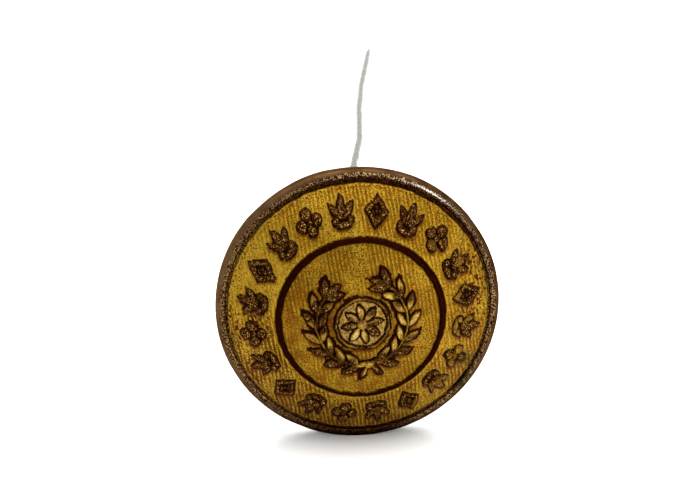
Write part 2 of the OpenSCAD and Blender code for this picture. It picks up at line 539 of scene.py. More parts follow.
@dataclass(frozen=True)
class StampedDesign:
    """The raised ornament: a border of motifs, a ring, and a wreath round a rosette.

    Sizes are in millimetres. Angles are in degrees: first_leaf, leaf_sweep and tip_lag
    along the wreath from its bottom, the others about a figure's own middle.
    """

    sizes: ButtonSizes
    first_leaf: float = 16.0
    leaf_sweep: float = 142.0
    leaf_splay: float = 33.0
    leaf_off: tuple[float, float] = (0.45, 0.52)
    tip_lag: float = 8.0
    tip_turn: float = -86.0
    twig_w: float = 0.22
    twig_opening: float = 68.0

    @staticmethod
    def palmette() -> list[Figure]:
        """Fan of three leaves over two curls and a cross leaf.

        Returns:
            Its figures, round the origin.
        """
        middle = Figure(Shape.LEAF, 1.8, 0.62, y=0.34, crown=Crown.VEINED)
        side = Figure(Shape.LEAF, 1.5, 0.52, x=0.52, y=0.08, turn=-38, crown=Crown.VEINED)
        curl = Figure(Shape.DISC, 0.54, 0.54, x=0.6, y=-0.6)
        cross = Figure(Shape.LEAF, 1.5, 0.46, y=-0.95, turn=90)
        return [middle, side, side.mirrored(), curl, curl.mirrored(), cross]

    @staticmethod
    def lozenge() -> list[Figure]:
        """Open diamond with a bead in it."""
        return [Figure(Shape.OPEN_DIAMOND, 2.4, 1.9), Figure(Shape.DISC, 0.34, 0.34)]

    @staticmethod
    def quatrefoil() -> list[Figure]:
        """Four lobes round a boss.

        Returns:
            Its figures, round the origin.
        """
        lobe = Figure(Shape.DISC, 0.84, 0.84, x=0.64)
        lobes = [lobe.spun(quarter) for quarter in (0, 90, 180, 270)]
        return [*lobes, Figure(Shape.DISC, 0.5, 0.5)]

    def border(self) -> list[Figure]:
        """Motifs between the raised ring and the rim.

        Returns:
            The figures of all motifs, clockwise from the top.
        """
        kinds = (self.palmette(), self.lozenge(), self.palmette(), self.quatrefoil())
        count = self.sizes.border_count
        return [
            part.moved(0, self.sizes.border_r).spun(-i * 360 / count)
            for i in range(count)
            for part in kinds[i % len(kinds)]
        ]

    def ring(self) -> list[Figure]:
        """Raised ring between the border and the centre."""
        sizes = self.sizes
        return [Figure(Shape.HOOP, 2 * sizes.ring_r - sizes.ring_w, sizes.ring_w)]

    def bow(self) -> list[Figure]:
        """Knot with two loops and two tails.

        Returns:
            Its figures, round the origin.
        """
        knot = Figure(Shape.DISC, 0.72, 0.72)
        loop = Figure(Shape.LEAF, 1.1, 0.5, x=0.62, y=0.14, turn=70)
        tail = Figure(Shape.LEAF, 1.4, 0.4, x=0.5, y=-0.6, turn=38)
        return [knot, loop, loop.mirrored(), tail, tail.mirrored()]

    def wreath(self) -> list[Figure]:
        """Two laurel stems with paired leaves, tied at the bottom.

        Returns:
            Its figures, round the middle of the face.
        """
        down, pairs = -self.sizes.wreath_r, self.sizes.leaf_pairs
        step = self.leaf_sweep / pairs
        leaf = Figure(Shape.LEAF, 1.6, 0.62, x=self.leaf_off[0], crown=Crown.VEINED)
        stem = [
            replace(leaf, y=side * self.leaf_off[1], turn=-90 + side * self.leaf_splay)
            .moved(0, down)
            .spun(self.first_leaf + k * step)
            for k in range(pairs)
            for side in (-1, 1)
        ]
        tip = Figure(Shape.LEAF, 1.5, 0.5, y=down, turn=self.tip_turn, crown=Crown.VEINED)
        stem.append(tip.spun(self.first_leaf + pairs * step - self.tip_lag))
        ring_d = 2 * self.sizes.wreath_r
        twigs = Figure(Shape.HOOP, ring_d, self.twig_w, opening=self.twig_opening)
        tied = [part.moved(0, down) for part in self.bow()]
        return [twigs, *stem, *(part.mirrored() for part in stem), *tied]

    def rosette(self) -> list[Figure]:
        """Petals round a boss, in a thin ring.

        Returns:
            Its figures, round the middle of the face.
        """
        petal = Figure(Shape.LEAF, 1.35, 0.58, y=1.02, crown=Crown.VEINED)
        boss, thin_ring = Figure(Shape.DISC, 0.9, 0.9), Figure(Shape.HOOP, 4.3, 0.22)
        count = self.sizes.petals
        return [*(petal.spun(360 * k / count) for k in range(count)), boss, thin_ring]


@dataclass
class Reading:
    """What a group of figures does at each place of the face."""

    height: np.ndarray
    depth: np.ndarray

    @classmethod
    def of(cls, figures: list[Figure], x: np.ndarray, y: np.ndarray) -> "Reading":
        """Reads figures at places of the design.

        Args:
            figures: the raised figures.
            x: first coordinates of the places.
            y: second coordinates of the places.

        Returns:
            Share of the full rise, and distance inside the nearest outline.
        """
        far_outside = -2.0
        height, depth = np.zeros(len(x)), np.full(len(x), far_outside)
        for figure in figures:
            inside, middle = figure.depth(x, y)
            height = np.maximum(height, figure.height(inside, middle))
            depth = np.maximum(depth, inside)
        return cls(height, depth)


# Wear


@dataclass(frozen=True)
class Wear:
    """Where the button is worn, tarnishing or paler, and where shade and highlights are painted.

    Stretches are by the angle round it. Spots and pockets are by the place on the
    face, in millimetres.
    """

    # painted shade: the rim and its groove are darkened to near-black along the bottom
    black: Stretch = Stretch(-92, 30, power=4)
    # paler grains in the groove where it is lit: painted light
    sand_and_light: tuple[Stretch, ...] = (
        Stretch(2, 20, 1.3),
        Stretch(192, 56, 1.15),
        Stretch(-55, 28, 0.95),
        Stretch(150, 24, 0.25),
    )
    lit_sand_least: float = 0.06
    lit_sand_share: float = 0.9
    # worn-bright crest, partly painted highlight: the stretches near 60 and 75 degrees brighten it
    # where it catches the light
    rubbed_and_highlit: tuple[Stretch, ...] = (
        Stretch(75, 38, 0.36),
        Stretch(60, 10, 0.4),
        Stretch(2, 26, 0.22),
        Stretch(186, 34, 0.12),
        Stretch(-54, 20, 0.2),
    )
    rub_least: float = 0.08
    # how far the painted shade at the bottom hides the worn crest
    rub_hidden: float = 0.95
    # painted highlight: a near-white glint on the crest at the upper right
    painted_glint_stretches: tuple[Stretch, ...] = (Stretch(59, 8, 0.9), Stretch(46, 9, 0.08))
    # moves the crest, with its painted glint, outward at the upper right
    ridge_out: Stretch = Stretch(72, 42, 0.17)
    # painted sheen: lighter brown on the rim's outer side at the upper left
    polish_and_sheen: Stretch = Stretch(152, 46, 0.85)
    grimy: Stretch = Stretch(-38, 5)
    # tarnishing, and painted shade darkening the lower half of the border
    tarnish_and_shade_along: tuple[Stretch, ...] = (
        Stretch(206, 22, 0.95),
        Stretch(243, 18, 0.45),
        Stretch(-34, 18, 0.4),
        Stretch(-88, 40, 0.6),
    )
    # paler ground on the border at the upper left and, less, at the right
    clean: tuple[Stretch, ...] = (Stretch(156, 24, 0.8), Stretch(22, 20, 0.3))
    gilding_least: float = 0.25
    gilding_left: Stretch = Stretch(-15, 75, 0.45)
    thin_ring: Stretch = Stretch(-98, 60)
    low_arc: Stretch = Stretch(238, 75)
    left_arc: Stretch = Stretch(170, 40, 0.6)
    inner_top: Stretch = Stretch(92, 45, 0.2)
    stain: Spot = Spot(Peak(-3.0, 1.5), Peak(0.0, 2.4))
    grime: Spot = Spot(Peak(9.0, 0.8), Peak(-4.8, 0.8))
    right_pits: Pocket = Pocket(Edge(7.2, 9.0), Edge(-2.5, 0.5), Edge(4.5, 7.0))
    left_pits: Pocket = Pocket(Edge(6.9, 7.8), Edge(-1.5, 0.0), Edge(2.0, 3.5))

    def lit_sand_at(self, angle: np.ndarray) -> np.ndarray:
        """How light the groove's grains are: painted light by the angle, dark in the bottom's
        painted shade.
        """
        light = self.lit_sand_share * along(self.sand_and_light, angle)
        return self.lit_sand_least + light * (1 - self.black.at(angle))

    def rub_at(self, angle: np.ndarray) -> np.ndarray:
        """How bright the rim's crest is worn, partly a painted highlight at the upper right."""
        rub = self.rub_least + along(self.rubbed_and_highlit, angle)
        return rub * (1 - self.rub_hidden * self.black.at(angle))


@dataclass(frozen=True)
class Reach:
    """How far wear, dirt, painted shade and painted highlight of the ground reach.

    Edges and peaks are by the distance inside an outline, below 0 outside it, in
    millimetres. Those of the arcs are by the radius, right_tarnish is by the distance
    to the right, and the last three are by the distance past the groove's edge.
    """

    plain: Edge = Edge(-0.1, 0.0)
    worn_border: Edge = Edge(-0.03, 0.06)
    worn_centre: Edge = Edge(0.02, 0.08)
    centre_share: float = 0.8
    worn_patches: Patches = Patches(1.3, 21, Edge(0.35, 0.7))
    dull_patches: Patches = Patches(1.3, 21, Edge(0.3, 0.6))
    gilded_patches: Patches = Patches(0.7, 73, Edge(0.4, 0.66))
    # painted highlight on the tops of the wreath's and rosette's figures
    gleam: Edge = Edge(0.1, 0.2, 0.85)
    # the rosette's middle disc is paler gold, its own colour
    boss_gleam: float = 0.45
    boss_r: float = 2.1
    # painted shadow: below each figure, and round the border's figures
    shade: Edge = Edge(-0.25, 0.08)
    border_shade: Edge = Edge(-0.4, -0.05, 0.35)
    # painted shadow round the wreath and rosette
    centre_shade: Edge = Edge(-0.55, -0.05, 0.8)
    shade_patches: Patches = Patches(1.0, 29, Edge(0.25, 0.6))
    # painted shade: near-black patches between the wreath's leaves
    deep_shade: Edge = Edge(-0.4, -0.06)
    deep_shade_patches: Patches = Patches(0.75, 83, Edge(0.4, 0.62))
    deep_shade_from_r: float = 2.4
    # painted shadow: near-black just below the border's figures
    under_shade_over: Edge = Edge(-0.1, 0.06, 0.7)
    under_shade_beside: Edge = Edge(-0.3, -0.1)
    border_foot: Peak = Peak(-0.04, 0.055)
    centre_foot: Peak = Peak(-0.05, 0.08)
    # painted highlight: a pale band just outside the figures' edges
    edge_highlight: Peak = Peak(-0.17, 0.07)
    # the same painted highlight just outside the raised ring
    ring_edge_highlight: Peak = Peak(-0.16, 0.06, 0.8)
    edge_highlight_ends: float = 0.2
    ring: Edge = Edge(-0.1, -0.02)
    ring_thinned: tuple[float, float] = (0.07, 0.12)
    ring_waves: Unevenness = Unevenness(0.5, 97)
    inner_matt: float = 0.68
    low_arc_r: Peak = Peak(5.9, 0.55)
    left_arc_r: Peak = Peak(5.6, 0.9)
    arc_share: float = 0.7
    stain_patches: Patches = Patches(0.8, 67, Edge(0.2, 0.6))
    inner_tarnish: float = 0.26
    # darker towards the right and the top of the middle field
    right_tarnish: Edge = Edge(3.0, 6.5, 0.16)
    top_darkening_from_r: float = 4.0
    groove: Edge = Edge(-0.08, 0.08)
    burr: Peak = Peak(-0.04, 0.05)
    fringe: Peak = Peak(-0.22, 0.12)


@dataclass
class StampedGround:
    """The domed ground and its design: relief and wear at places in the design's axes.

    Depths, widths and distances are in millimetres.
    """

    sizes: ButtonSizes
    wear: Wear
    x: np.ndarray
    y: np.ndarray
    reach: Reach = Reach()
    cut_by: float = 0.15
    cut_across: Unevenness = Unevenness(0.45, 101)
    cut_along: Unevenness = Unevenness(0.45, 103)
    stamping: Unevenness = Unevenness(1.1, 5)
    stamped: tuple[float, float] = (0.84, 0.16)
    rib_pitch: float = 0.333
    rib_depth: float = 0.035
    rib_ends: tuple[float, float] = (0.25, 0.05)
    rib_wander: float = 0.11
    rib_waves: Unevenness = Unevenness(1.3, 11)
    rib_least: float = 0.15
    rib_patches: Patches = Patches(1.2, 3, Edge(0.1, 0.9, 0.95))
    inner_ribs: float = 0.5
    rib_contrast: float = 1.3
    dimple_depth: float = 0.02
    dimples: Unevenness = Unevenness(0.9, 8)
    groove_in: float = 0.04
    groove_wander: float = 0.13
    groove_waves: Unevenness = Unevenness(0.35, 41)
    groove_bank: Edge = Edge(0.0, 0.09, 0.16)
    shade_throw: float = 0.3

    def __post_init__(self) -> None:
        """Reads the design, the ribs and the groove's edge at every place."""
        s, x, y = self.sizes, self.x, self.y
        sin, cos = math.sin(math.radians(s.design_turn)), math.cos(math.radians(s.design_turn))
        self.r = np.hypot(x, y)
        self.right, self.up = x * cos - y * sin, x * sin + y * cos
        self.angle = np.degrees(np.arctan2(self.up, self.right))
        self.within = self.r < s.ring_r
        self._read_design(self.shade_throw * sin, self.shade_throw * cos)
        wander = self.rib_wander * (self.rib_waves.at(x, y) - 0.5)
        self.rib = 0.5 + 0.5 * np.cos(2 * np.pi * (x + wander) / self.rib_pitch)
        kept = self.rib_least + self.rib_patches.at(x, y / 2)
        self.rib_kept = kept * np.where(self.within, self.inner_ribs, 1.0)
        edge = self.groove_wander * (self.groove_waves.at(x, y) - 0.5)
        self.past_edge = self.r - (s.groove_r - self.groove_in + edge)

    def _read_design(self, throw_x: float, throw_y: float) -> None:
        """Reads the raised figures, with outlines that waver as if cut by hand.

        Args:
            throw_x: how far above a place its shade is looked for, along the design's X.
            throw_y: the same along the design's Y.
        """
        x, y, design = self.x, self.y, StampedDesign(self.sizes)
        cut_x = x + self.cut_by * (self.cut_across.at(x, y) - 0.5)
        cut_y = y + self.cut_by * (self.cut_along.at(x, y) - 0.5)
        border, middle = design.border(), design.wreath() + design.rosette()
        self.border = Reading.of(border, cut_x, cut_y)
        self.centre = Reading.of(middle, cut_x, cut_y)
        self.ring = Reading.of(design.ring(), (x + cut_x) / 2, (y + cut_y) / 2)
        self.over = Reading.of(border + middle, cut_x + throw_x, cut_y + throw_y)
        self.figures = np.maximum(self.border.depth, self.centre.depth)
        self.plain = 1 - self.reach.plain.at(np.maximum(self.figures, self.ring.depth))

    def relief(self) -> np.ndarray:
        """Height of the ground and the design above the plain dome.

        Returns:
            One height for each place.
        """
        s, (least, more) = self.sizes, self.stamped
        stamped = least + more * self.stamping.at(self.x, self.y)
        height = self.border.height * s.border_rise * stamped
        height = np.maximum(height, self.ring.height * s.ring_rise)
        height = np.maximum(height, self.centre.height * s.centre_rise * stamped)
        first, last = (s.ground_r - end for end in self.rib_ends)
        kept = self.rib_kept * (1 - smooth(first, last, self.r))
        ribs = self.rib_depth * self.plain * kept * (1 - self.rib)
        dimples = self.dimple_depth * self.plain * self.dimples.at(self.x, self.y)
        return height - ribs - dimples - self.groove_bank.at(self.past_edge)

    def figure_wear(self) -> dict[str, np.ndarray]:
        """Wear of the raised figures, darkening round their feet, and painted shade and highlight
        round them.

        Returns:
            Values by name, for the finish.
        """
        x, y, wear, reach = self.x, self.y, self.wear, self.reach
        border, centre, over = self.border.depth, self.centre.depth, self.over.depth
        kept = wear.gilding_least + wear.gilding_left.at(self.angle)
        kept = kept * reach.gilded_patches.at(x, y)
        worn_border = reach.worn_border.at(border) * (1 - kept)
        worn_centre = reach.worn_centre.at(centre) * reach.worn_patches.at(x, y)
        # painted highlight on the figures' tops, plus the paler disc round the boss
        gleam = reach.gleam.at(centre) * (1 - reach.dull_patches.at(x, y))
        gleam = gleam + reach.boss_gleam * (self.r < reach.boss_r)
        # painted shadow: rust colour below the figures and round the wreath
        shade = np.maximum(reach.shade.at(over), reach.border_shade.at(border))
        cast = reach.centre_shade.at(centre) * reach.shade_patches.at(x, y)
        # painted shade: near-black between the wreath's leaves and below the border's figures
        deep_shade = reach.deep_shade.at(centre) * reach.deep_shade_patches.at(x, y) * (self.r > reach.deep_shade_from_r)
        under_shade = reach.under_shade_over.at(over) * reach.under_shade_beside.at(border)
        # painted highlight just outside the ring and the figures
        edge_highlight = reach.ring_edge_highlight.at(self.ring.depth) * ~self.within
        edge_highlight = np.maximum(reach.edge_highlight.at(self.figures), edge_highlight)
        return {
            "worn": np.maximum(worn_border, worn_centre * reach.centre_share),
            "gleam": gleam * (1 - worn_centre),
            "shade": np.maximum(shade, cast) * self.plain,
            "deep_shade": np.maximum(deep_shade, under_shade) * self.plain,
            "foot": np.maximum(reach.border_foot.at(border), reach.centre_foot.at(centre)),
            "edge_highlight": edge_highlight * (self.r < self.sizes.ground_r - reach.edge_highlight_ends),
        }

    def ground_wear(self) -> dict[str, np.ndarray]:
        """Ribs, tarnishing with painted shade, stains and pits of the ground, and dirt on the
        ring.

        Returns:
            Values by name, for the finish.
        """
        x, y, wear, reach, angle = self.x, self.y, self.wear, self.reach, self.angle
        least, more = reach.ring_thinned
        thin = (least + more * (reach.ring_waves.at(x, y) - 0.5)) * wear.thin_ring.at(angle)
        arc = wear.low_arc.at(angle) * reach.low_arc_r.at(self.r)
        arc = arc + wear.left_arc.at(angle) * reach.left_arc_r.at(self.r)
        arc = reach.arc_share * arc * self.within
        inner = reach.inner_tarnish + reach.right_tarnish.at(self.right)
        inner = inner + wear.inner_top.at(angle) * (self.r > reach.top_darkening_from_r)
        right_pits = wear.right_pits.at(self.right, self.up)
        left_pits = wear.left_pits.at(-self.right, -self.up)
        valleys = (1 - self.rib) * np.clip(self.rib_kept * self.rib_contrast, 0, 1)
        stain = np.maximum(wear.stain.at(self.right, self.up), arc)
        return {
            "rib": 1 - valleys * self.plain,
            "ring": reach.ring.at(self.ring.depth - thin),
            "matt": np.where(self.within, reach.inner_matt, 1.0),
            # tarnishing; on the border also painted shade on its lower half
            "tarnish": np.where(self.within, inner, along(wear.tarnish_and_shade_along, angle)),
            "clean": along(wear.clean, angle) * ~self.within,
            "stain": stain * reach.stain_patches.at(x, y),
            "pits": np.maximum(right_pits, left_pits) * self.plain,
            "grime": wear.grime.at(self.right, self.up),
        }

    def groove_wear(self) -> dict[str, np.ndarray]:
        """Grains in the groove, paler where it is lit as painted light, and the burr and stain
        along its edge.

        Returns:
            Values by name, for the finish.
        """
        return {
            "slope": self.reach.groove.at(self.past_edge),
            "burr": self.reach.burr.at(self.past_edge),
            "fringe": self.reach.fringe.at(self.past_edge),
            "lit_sand": self.wear.lit_sand_at(self.angle),
        }

    def carried(self) -> dict[str, np.ndarray]:
        """All values that the finish reads."""
        return {**self.ground_wear(), **self.figure_wear(), **self.groove_wear()}


# Materials


@dataclass(frozen=True)
class Grain:
    """A cloudy pattern: fineness per millimetre, detail, roughness and stretch."""

    scale: float
    detail: float
    rough: float
    stretch: tuple[float, float, float] = (1, 1, 1)


@dataclass(frozen=True)
class Ramp:
    """Smooth change from start, where a value is low, to end, where it is high."""

    low: float
    high: float
    start: float = 0.0
    end: float = 1.0


@dataclass(frozen=True)
class Coat:
    """A colour laid on by the strength of a pattern, and only as far as a mask says."""

    tone: Colour | Socket
    pattern: Socket
    ramp: Ramp
    mask: Socket | None = None


class Join(Enum):
    """How two values are put together, in Blender's words."""

    SUM = "ADD"
    REST = "SUBTRACT"
    PRODUCT = "MULTIPLY"


class Paintbox:
    """Lays out the nodes of one material; patterns are scaled in millimetres."""

    per_column: int = 6
    cell: tuple[int, int] = (220, 240)
    top: int = 300
    torn: Ramp = Ramp(0.3, 0.7, 0.0, 0.5)
    tear: Ramp = Ramp(0.5, 0.78)

    def __init__(self, name: str, turn: float = 0.0) -> None:
        """Starts a material with a shader of its own.

        Args:
            name: name of the material.
            turn: turn of its patterns about Y, in degrees.
        """
        self.turn = turn
        self.material = bpy.data.materials.new(name)
        self.material.use_nodes = True
        self.tree = self.material.node_tree
        self.shader = next(n for n in self.tree.nodes if n.type == "BSDF_PRINCIPLED")
        self._made = 0

    def node(self, kind: str, **settings: object) -> bpy.types.Node:
        """Adds a node.

        Args:
            kind: Blender's name of its kind.
            settings: the node's own settings.

        Returns:
            The new node.
        """
        made = self.tree.nodes.new(kind)
        self._made += 1
        column, row = divmod(self._made, self.per_column)
        made.location = (-self.cell[0] * (1 + column), self.top - self.cell[1] * row)
        for key, value in settings.items():
            setattr(made, key, value)
        return made

    def put(self, socket: Socket, value: object) -> None:
        """Feeds a socket.

        Args:
            socket: the input.
            value: a source to link, a number, or a colour of three parts.
        """
        if isinstance(value, Socket):
            self.tree.links.new(value, socket)
        elif isinstance(value, tuple) and socket.type == "RGBA":
            socket.default_value = (*value, 1.0)
        else:
            socket.default_value = value

    def place(self, stretch: tuple[float, float, float] = (1, 1, 1)) -> Socket:
        """Position on the object in millimetres.

        Args:
            stretch: how much finer the pattern is along each axis.

        Returns:
            The position, turned and then stretched.
        """
        spin, grow = self.node("ShaderNodeMapping"), self.node("ShaderNodeMapping")
        self.put(spin.inputs["Vector"], self.node("ShaderNodeTexCoord").outputs["Object"])
        self.put(spin.inputs["Rotation"], (0, math.radians(self.turn), 0))
        self.put(grow.inputs["Vector"], spin.outputs["Vector"])
        self.put(grow.inputs["Scale"], tuple(share / MM for share in stretch))
        return grow.outputs["Vector"]

    def carried(self, name: str) -> Socket:
        """A value that the mesh carries at its points."""
        return self.node("ShaderNodeAttribute", attribute_name=name).outputs["Fac"]

    def noise(self, grain: Grain, where: Socket | None = None) -> Socket:
        """Cloudy pattern.

        Args:
            grain: its fineness and roughness.
            where: position to read it at, if that has been laid out before.

        Returns:
            The pattern, between 0 and 1.
        """
        made = self.node("ShaderNodeTexNoise")
        self.put(made.inputs["Vector"], where or self.place(grain.stretch))
        self.put(made.inputs["Scale"], grain.scale)
        self.put(made.inputs["Detail"], grain.detail)
        self.put(made.inputs["Roughness"], grain.rough)
        return made.outputs["Fac"]

    def span(self, value: Socket, ramp: Ramp) -> Socket:
        """Maps a value smoothly over a ramp.

        Args:
            value: the value.
            ramp: where it starts and ends, and at what.

        Returns:
            The mapped value.
        """
        made = self.node("ShaderNodeMapRange", interpolation_type="SMOOTHSTEP")
        self.put(made.inputs["Value"], value)
        self.put(made.inputs["From Min"], ramp.low)
        self.put(made.inputs["From Max"], ramp.high)
        self.put(made.inputs["To Min"], ramp.start)
        self.put(made.inputs["To Max"], ramp.end)
        return made.outputs["Result"]

    def ragged(self, name: str, pattern: Socket) -> Socket:
        """A carried value with its edge broken up by a pattern."""
        return self.span(self.add(self.carried(name), self.span(pattern, self.torn)), self.tear)

    def join(self, how: Join, a: Socket, b: Socket) -> Socket:
        """Two values put together.

        Args:
            how: how they are put together.
            a: first value.
            b: second value.

        Returns:
            The result, clamped to 0 and 1.
        """
        made = self.node("ShaderNodeMath", operation=how.value, use_clamp=True)
        self.put(made.inputs[0], a)
        self.put(made.inputs[1], b)
        return made.outputs["Value"]

    def add(self, a: Socket, b: Socket) -> Socket:
        """The sum of two values."""
        return self.join(Join.SUM, a, b)

    def less(self, a: Socket, b: Socket) -> Socket:
        """The first value less the second one."""
        return self.join(Join.REST, a, b)

    def times(self, a: Socket, b: Socket) -> Socket:
        """The product of two values."""
        return self.join(Join.PRODUCT, a, b)

    def mix(self, share: Socket, under: Colour | Socket, over: Colour | Socket) -> Socket:
        """One colour laid over another.

        Args:
            share: how much of the upper colour shows.
            under: lower colour.
            over: upper colour.

        Returns:
            The mixed colour.
        """
        made = self.node("ShaderNodeMix", data_type="RGBA")
        factor, lower, upper, mixed = 0, 6, 7, 2
        self.put(made.inputs[factor], share)
        self.put(made.inputs[lower], under)
        self.put(made.inputs[upper], over)
        return made.outputs[mixed]

    def coat(self, colour: Colour | Socket, *coats: Coat) -> Colour | Socket:
        """Lays coats over a colour.

        Args:
            colour: the lowest colour.
            coats: the coats, from the lowest up.

        Returns:
            The colour that shows.
        """
        for coat in coats:
            share = self.span(coat.pattern, coat.ramp)
            if coat.mask is not None:
                share = self.times(share, coat.mask)
            colour = self.mix(share, colour, coat.tone)
        return colour

    def relief(self, height: Socket, depth: float, below: Socket | None = None) -> Socket:
        """Fine relief over an earlier one.

        Args:
            height: its height, between 0 and 1.
            depth: what a height of 1 stands for, in millimetres.
            below: the relief that it lies on.

        Returns:
            Directions of the surface.
        """
        made = self.node("ShaderNodeBump")
        self.put(made.inputs["Distance"], depth * MM)
        self.put(made.inputs["Strength"], 1.0)
        self.put(made.inputs["Height"], height)
        if below is not None:
            self.put(made.inputs["Normal"], below)
        return made.outputs["Normal"]

    def finish(self, **sockets: object) -> bpy.types.Material:
        """Feeds the shader.

        Args:
            sockets: values by the shader's own names, in lower case with underscores.

        Returns:
            The material.
        """
        names = {name.lower().replace(" ", "_"): name for name in self.shader.inputs.keys()}
        for key, value in sockets.items():
            self.put(self.shader.inputs[names[key]], value)
        return self.material


@dataclass(frozen=True)
class WornGilding:
    """Mustard gilding of the ground, worn to brown metal on the figures."""

    gold: Colour = (0.148, 0.071, 0.0012)
    # pale gold: paler ribs and patches, and also the painted highlight along the figures' edges
    # and the lit grains in the groove
    pale: Colour = (0.4, 0.25, 0.02)
    amber: Colour = (0.115, 0.041, 0.0008)
    orange: Colour = (0.21, 0.075, 0.0005)
    # rust: specks and streaks, and also the colour of the painted shadow below the figures
    rust: Colour = (0.062, 0.0105, 0.0006)
    sienna: Colour = (0.085, 0.02, 0.0008)
    umber: Colour = (0.052, 0.017, 0.001)
    brown: Colour = (0.042, 0.0085, 0.0014)
    ring: Colour = (0.0105, 0.0014, 0.0005)
    # near-black: the figures' outlines and the groove, and the painted shade between and below
    # figures
    black: Colour = (0.0085, 0.0006, 0.0004)
    speck: Colour = (0.5, 0.33, 0.075)
    # pale straw: painted highlight on the wreath, and the paler disc round the boss
    straw: Colour = (0.58, 0.4, 0.12)
    dirt: Colour = (0.022, 0.024, 0.004)
    olive: Colour = (0.06, 0.05, 0.003)
    edge_tint: Colour = (0.6, 0.26, 0.12)
    dull_shine: float = 0.2
    fine: Grain = Grain(9.0, 1.0, 0.6)
    grit: Grain = Grain(4.0, 4.0, 0.75)
    blotch: Grain = Grain(0.5, 4.0, 0.6)
    streak: Grain = Grain(1.0, 3.0, 0.7, (6.5, 1.0, 1.1))
    warm: Grain = Grain(0.85, 2.0, 0.55, (1.0, 1.0, 1.2))
    spots: Grain = Grain(1.0, 1.0, 0.5, (5.2, 1.0, 3.0))
    grit_depth: float = 0.03
    wear_depth: float = 0.06
    turn: float = 9.0

    def ground(self, box: Paintbox, fine: Socket, grit: Socket) -> Socket:
        """Mottled gilding with paler ribs and darker valleys, tarnishing and stains.

        Painted shade lies below the figures, and painted highlights lie on and beside them.

        Args:
            box: node layout of the material.
            fine: finest pattern.
            grit: middling pattern.

        Returns:
            Colour of the ground.
        """
        blotch, streak, warm = (box.noise(g) for g in (self.blotch, self.streak, self.warm))
        rib, matt = box.carried("rib"), box.carried("matt")
        beads = box.times(box.span(rib, Ramp(0.5, 0.95)), matt)
        return box.coat(
            self.gold,
            Coat(self.amber, blotch, Ramp(0.44, 0.7)),
            Coat(self.olive, blotch, Ramp(0.44, 0.3, 0.0, 0.5)),
            Coat(self.pale, matt, Ramp(0.35, 1.0, 0.0, 0.22)),
            Coat(self.amber, rib, Ramp(0.1, 0.75, 0.65, 0.0)),
            Coat(self.pale, grit, Ramp(0.5, 0.7, 0.0, 0.35)),
            Coat(self.orange, warm, Ramp(0.48, 0.62, 0.0, 0.65)),
            # paler ground on the border at the upper left and the right
            Coat(self.pale, grit, Ramp(0.3, 0.6, 0.5, 1.0), box.carried("clean")),
            # umber tarnishing, partly painted shade on the lower border
            Coat(self.umber, grit, Ramp(0.3, 0.6, 0.45, 1.0), box.carried("tarnish")),
            Coat(self.pale, fine, Ramp(0.45, 0.58, 0.02, 1.0), beads),
            Coat(self.pale, streak, Ramp(0.54, 0.7, 0.0, 0.6), matt),
            Coat(self.rust, streak, Ramp(0.45, 0.3, 0.0, 0.7), matt),
            Coat(self.rust, fine, Ramp(0.45, 0.37, 0.0, 0.85), matt),
            # painted highlight: pale band along the figures' edges
            Coat(self.pale, grit, Ramp(0.4, 0.58, 0.12, 0.78), box.carried("edge_highlight")),
            Coat(self.sienna, grit, Ramp(0.35, 0.6, 0.3, 1.0), box.carried("stain")),
            # painted shadow: rust colour below the figures and round the wreath
            Coat(self.rust, grit, Ramp(0.25, 0.6, 0.5, 1.0), box.carried("shade")),
            # painted highlight on the wreath's tops, and the paler disc round the boss
            Coat(self.straw, grit, Ramp(0.42, 0.58, 0.1, 1.0), box.carried("gleam")),
        )

    def bare_metal(self, box: Paintbox, fine: Socket, grit: Socket) -> Socket:
        """Brown metal with bright and black specks, where the gilding is worn off.

        Args:
            box: node layout of the material.
            fine: finest pattern.
            grit: middling pattern.

        Returns:
            Colour of the worn figures.
        """
        bright = box.span(grit, Ramp(0.4, 0.6, 0.15, 0.95))
        return box.coat(
            self.brown,
            Coat(self.speck, fine, Ramp(0.56, 0.61), bright),
            Coat(self.black, fine, Ramp(0.47, 0.39)),
        )

    def dress(self) -> bpy.types.Material:
        """Makes the material.

        Returns:
            The material of the ground and the design.
        """
        box = Paintbox("worn_gilding", self.turn)
        where = box.place()
        fine, grit = box.noise(self.fine, where), box.noise(self.grit, where)
        worn, ring = box.ragged("worn", fine), box.carried("ring")
        colour = box.mix(worn, self.ground(box, fine, grit), self.bare_metal(box, fine, grit))
        banded = box.coat(self.ring, Coat(self.brown, grit, Ramp(0.48, 0.66, 0.0, 0.34)))
        colour = box.mix(ring, colour, banded)
        colour = box.mix(box.ragged("foot", fine), colour, self.black)
        # painted shade: near-black between the wreath's leaves and below the border's figures
        colour = box.mix(box.ragged("deep_shade", grit), colour, self.black)
        colour = box.coat(
            colour,
            Coat(self.pale, grit, Ramp(0.42, 0.56, 0.0, 0.7), box.carried("burr")),
            Coat(self.rust, fine, Ramp(0.52, 0.42, 0.1, 0.9), box.carried("fringe")),
        )
        # groove: near-black with rust and pale grains, the grains paler where the groove is lit,
        # as painted light
        sand_and_light = box.coat(
            self.black,
            Coat(self.rust, fine, Ramp(0.46, 0.56)),
            Coat(self.pale, fine, Ramp(0.48, 0.56, 0.15, 1.0), box.carried("lit_sand")),
        )
        colour = box.mix(box.ragged("slope", fine), colour, sand_and_light)
        colour = box.coat(
            colour,
            Coat(self.brown, box.noise(self.spots), Ramp(0.55, 0.6), box.carried("pits")),
            Coat(self.dirt, grit, Ramp(0.3, 0.6), box.carried("grime")),
        )
        bare = box.add(worn, ring)
        matt = box.relief(box.times(grit, box.carried("matt")), self.grit_depth)
        return box.finish(
            base_color=colour,
            roughness=box.span(bare, Ramp(0.0, 1.0, 0.52, 0.6)),
            metallic=box.span(bare, Ramp(0.0, 1.0, 0.65, 0.95)),
            normal=box.relief(box.times(fine, worn), self.wear_depth, matt),
            specular_tint=self.edge_tint,
            specular_ior_level=self.dull_shine,
        )


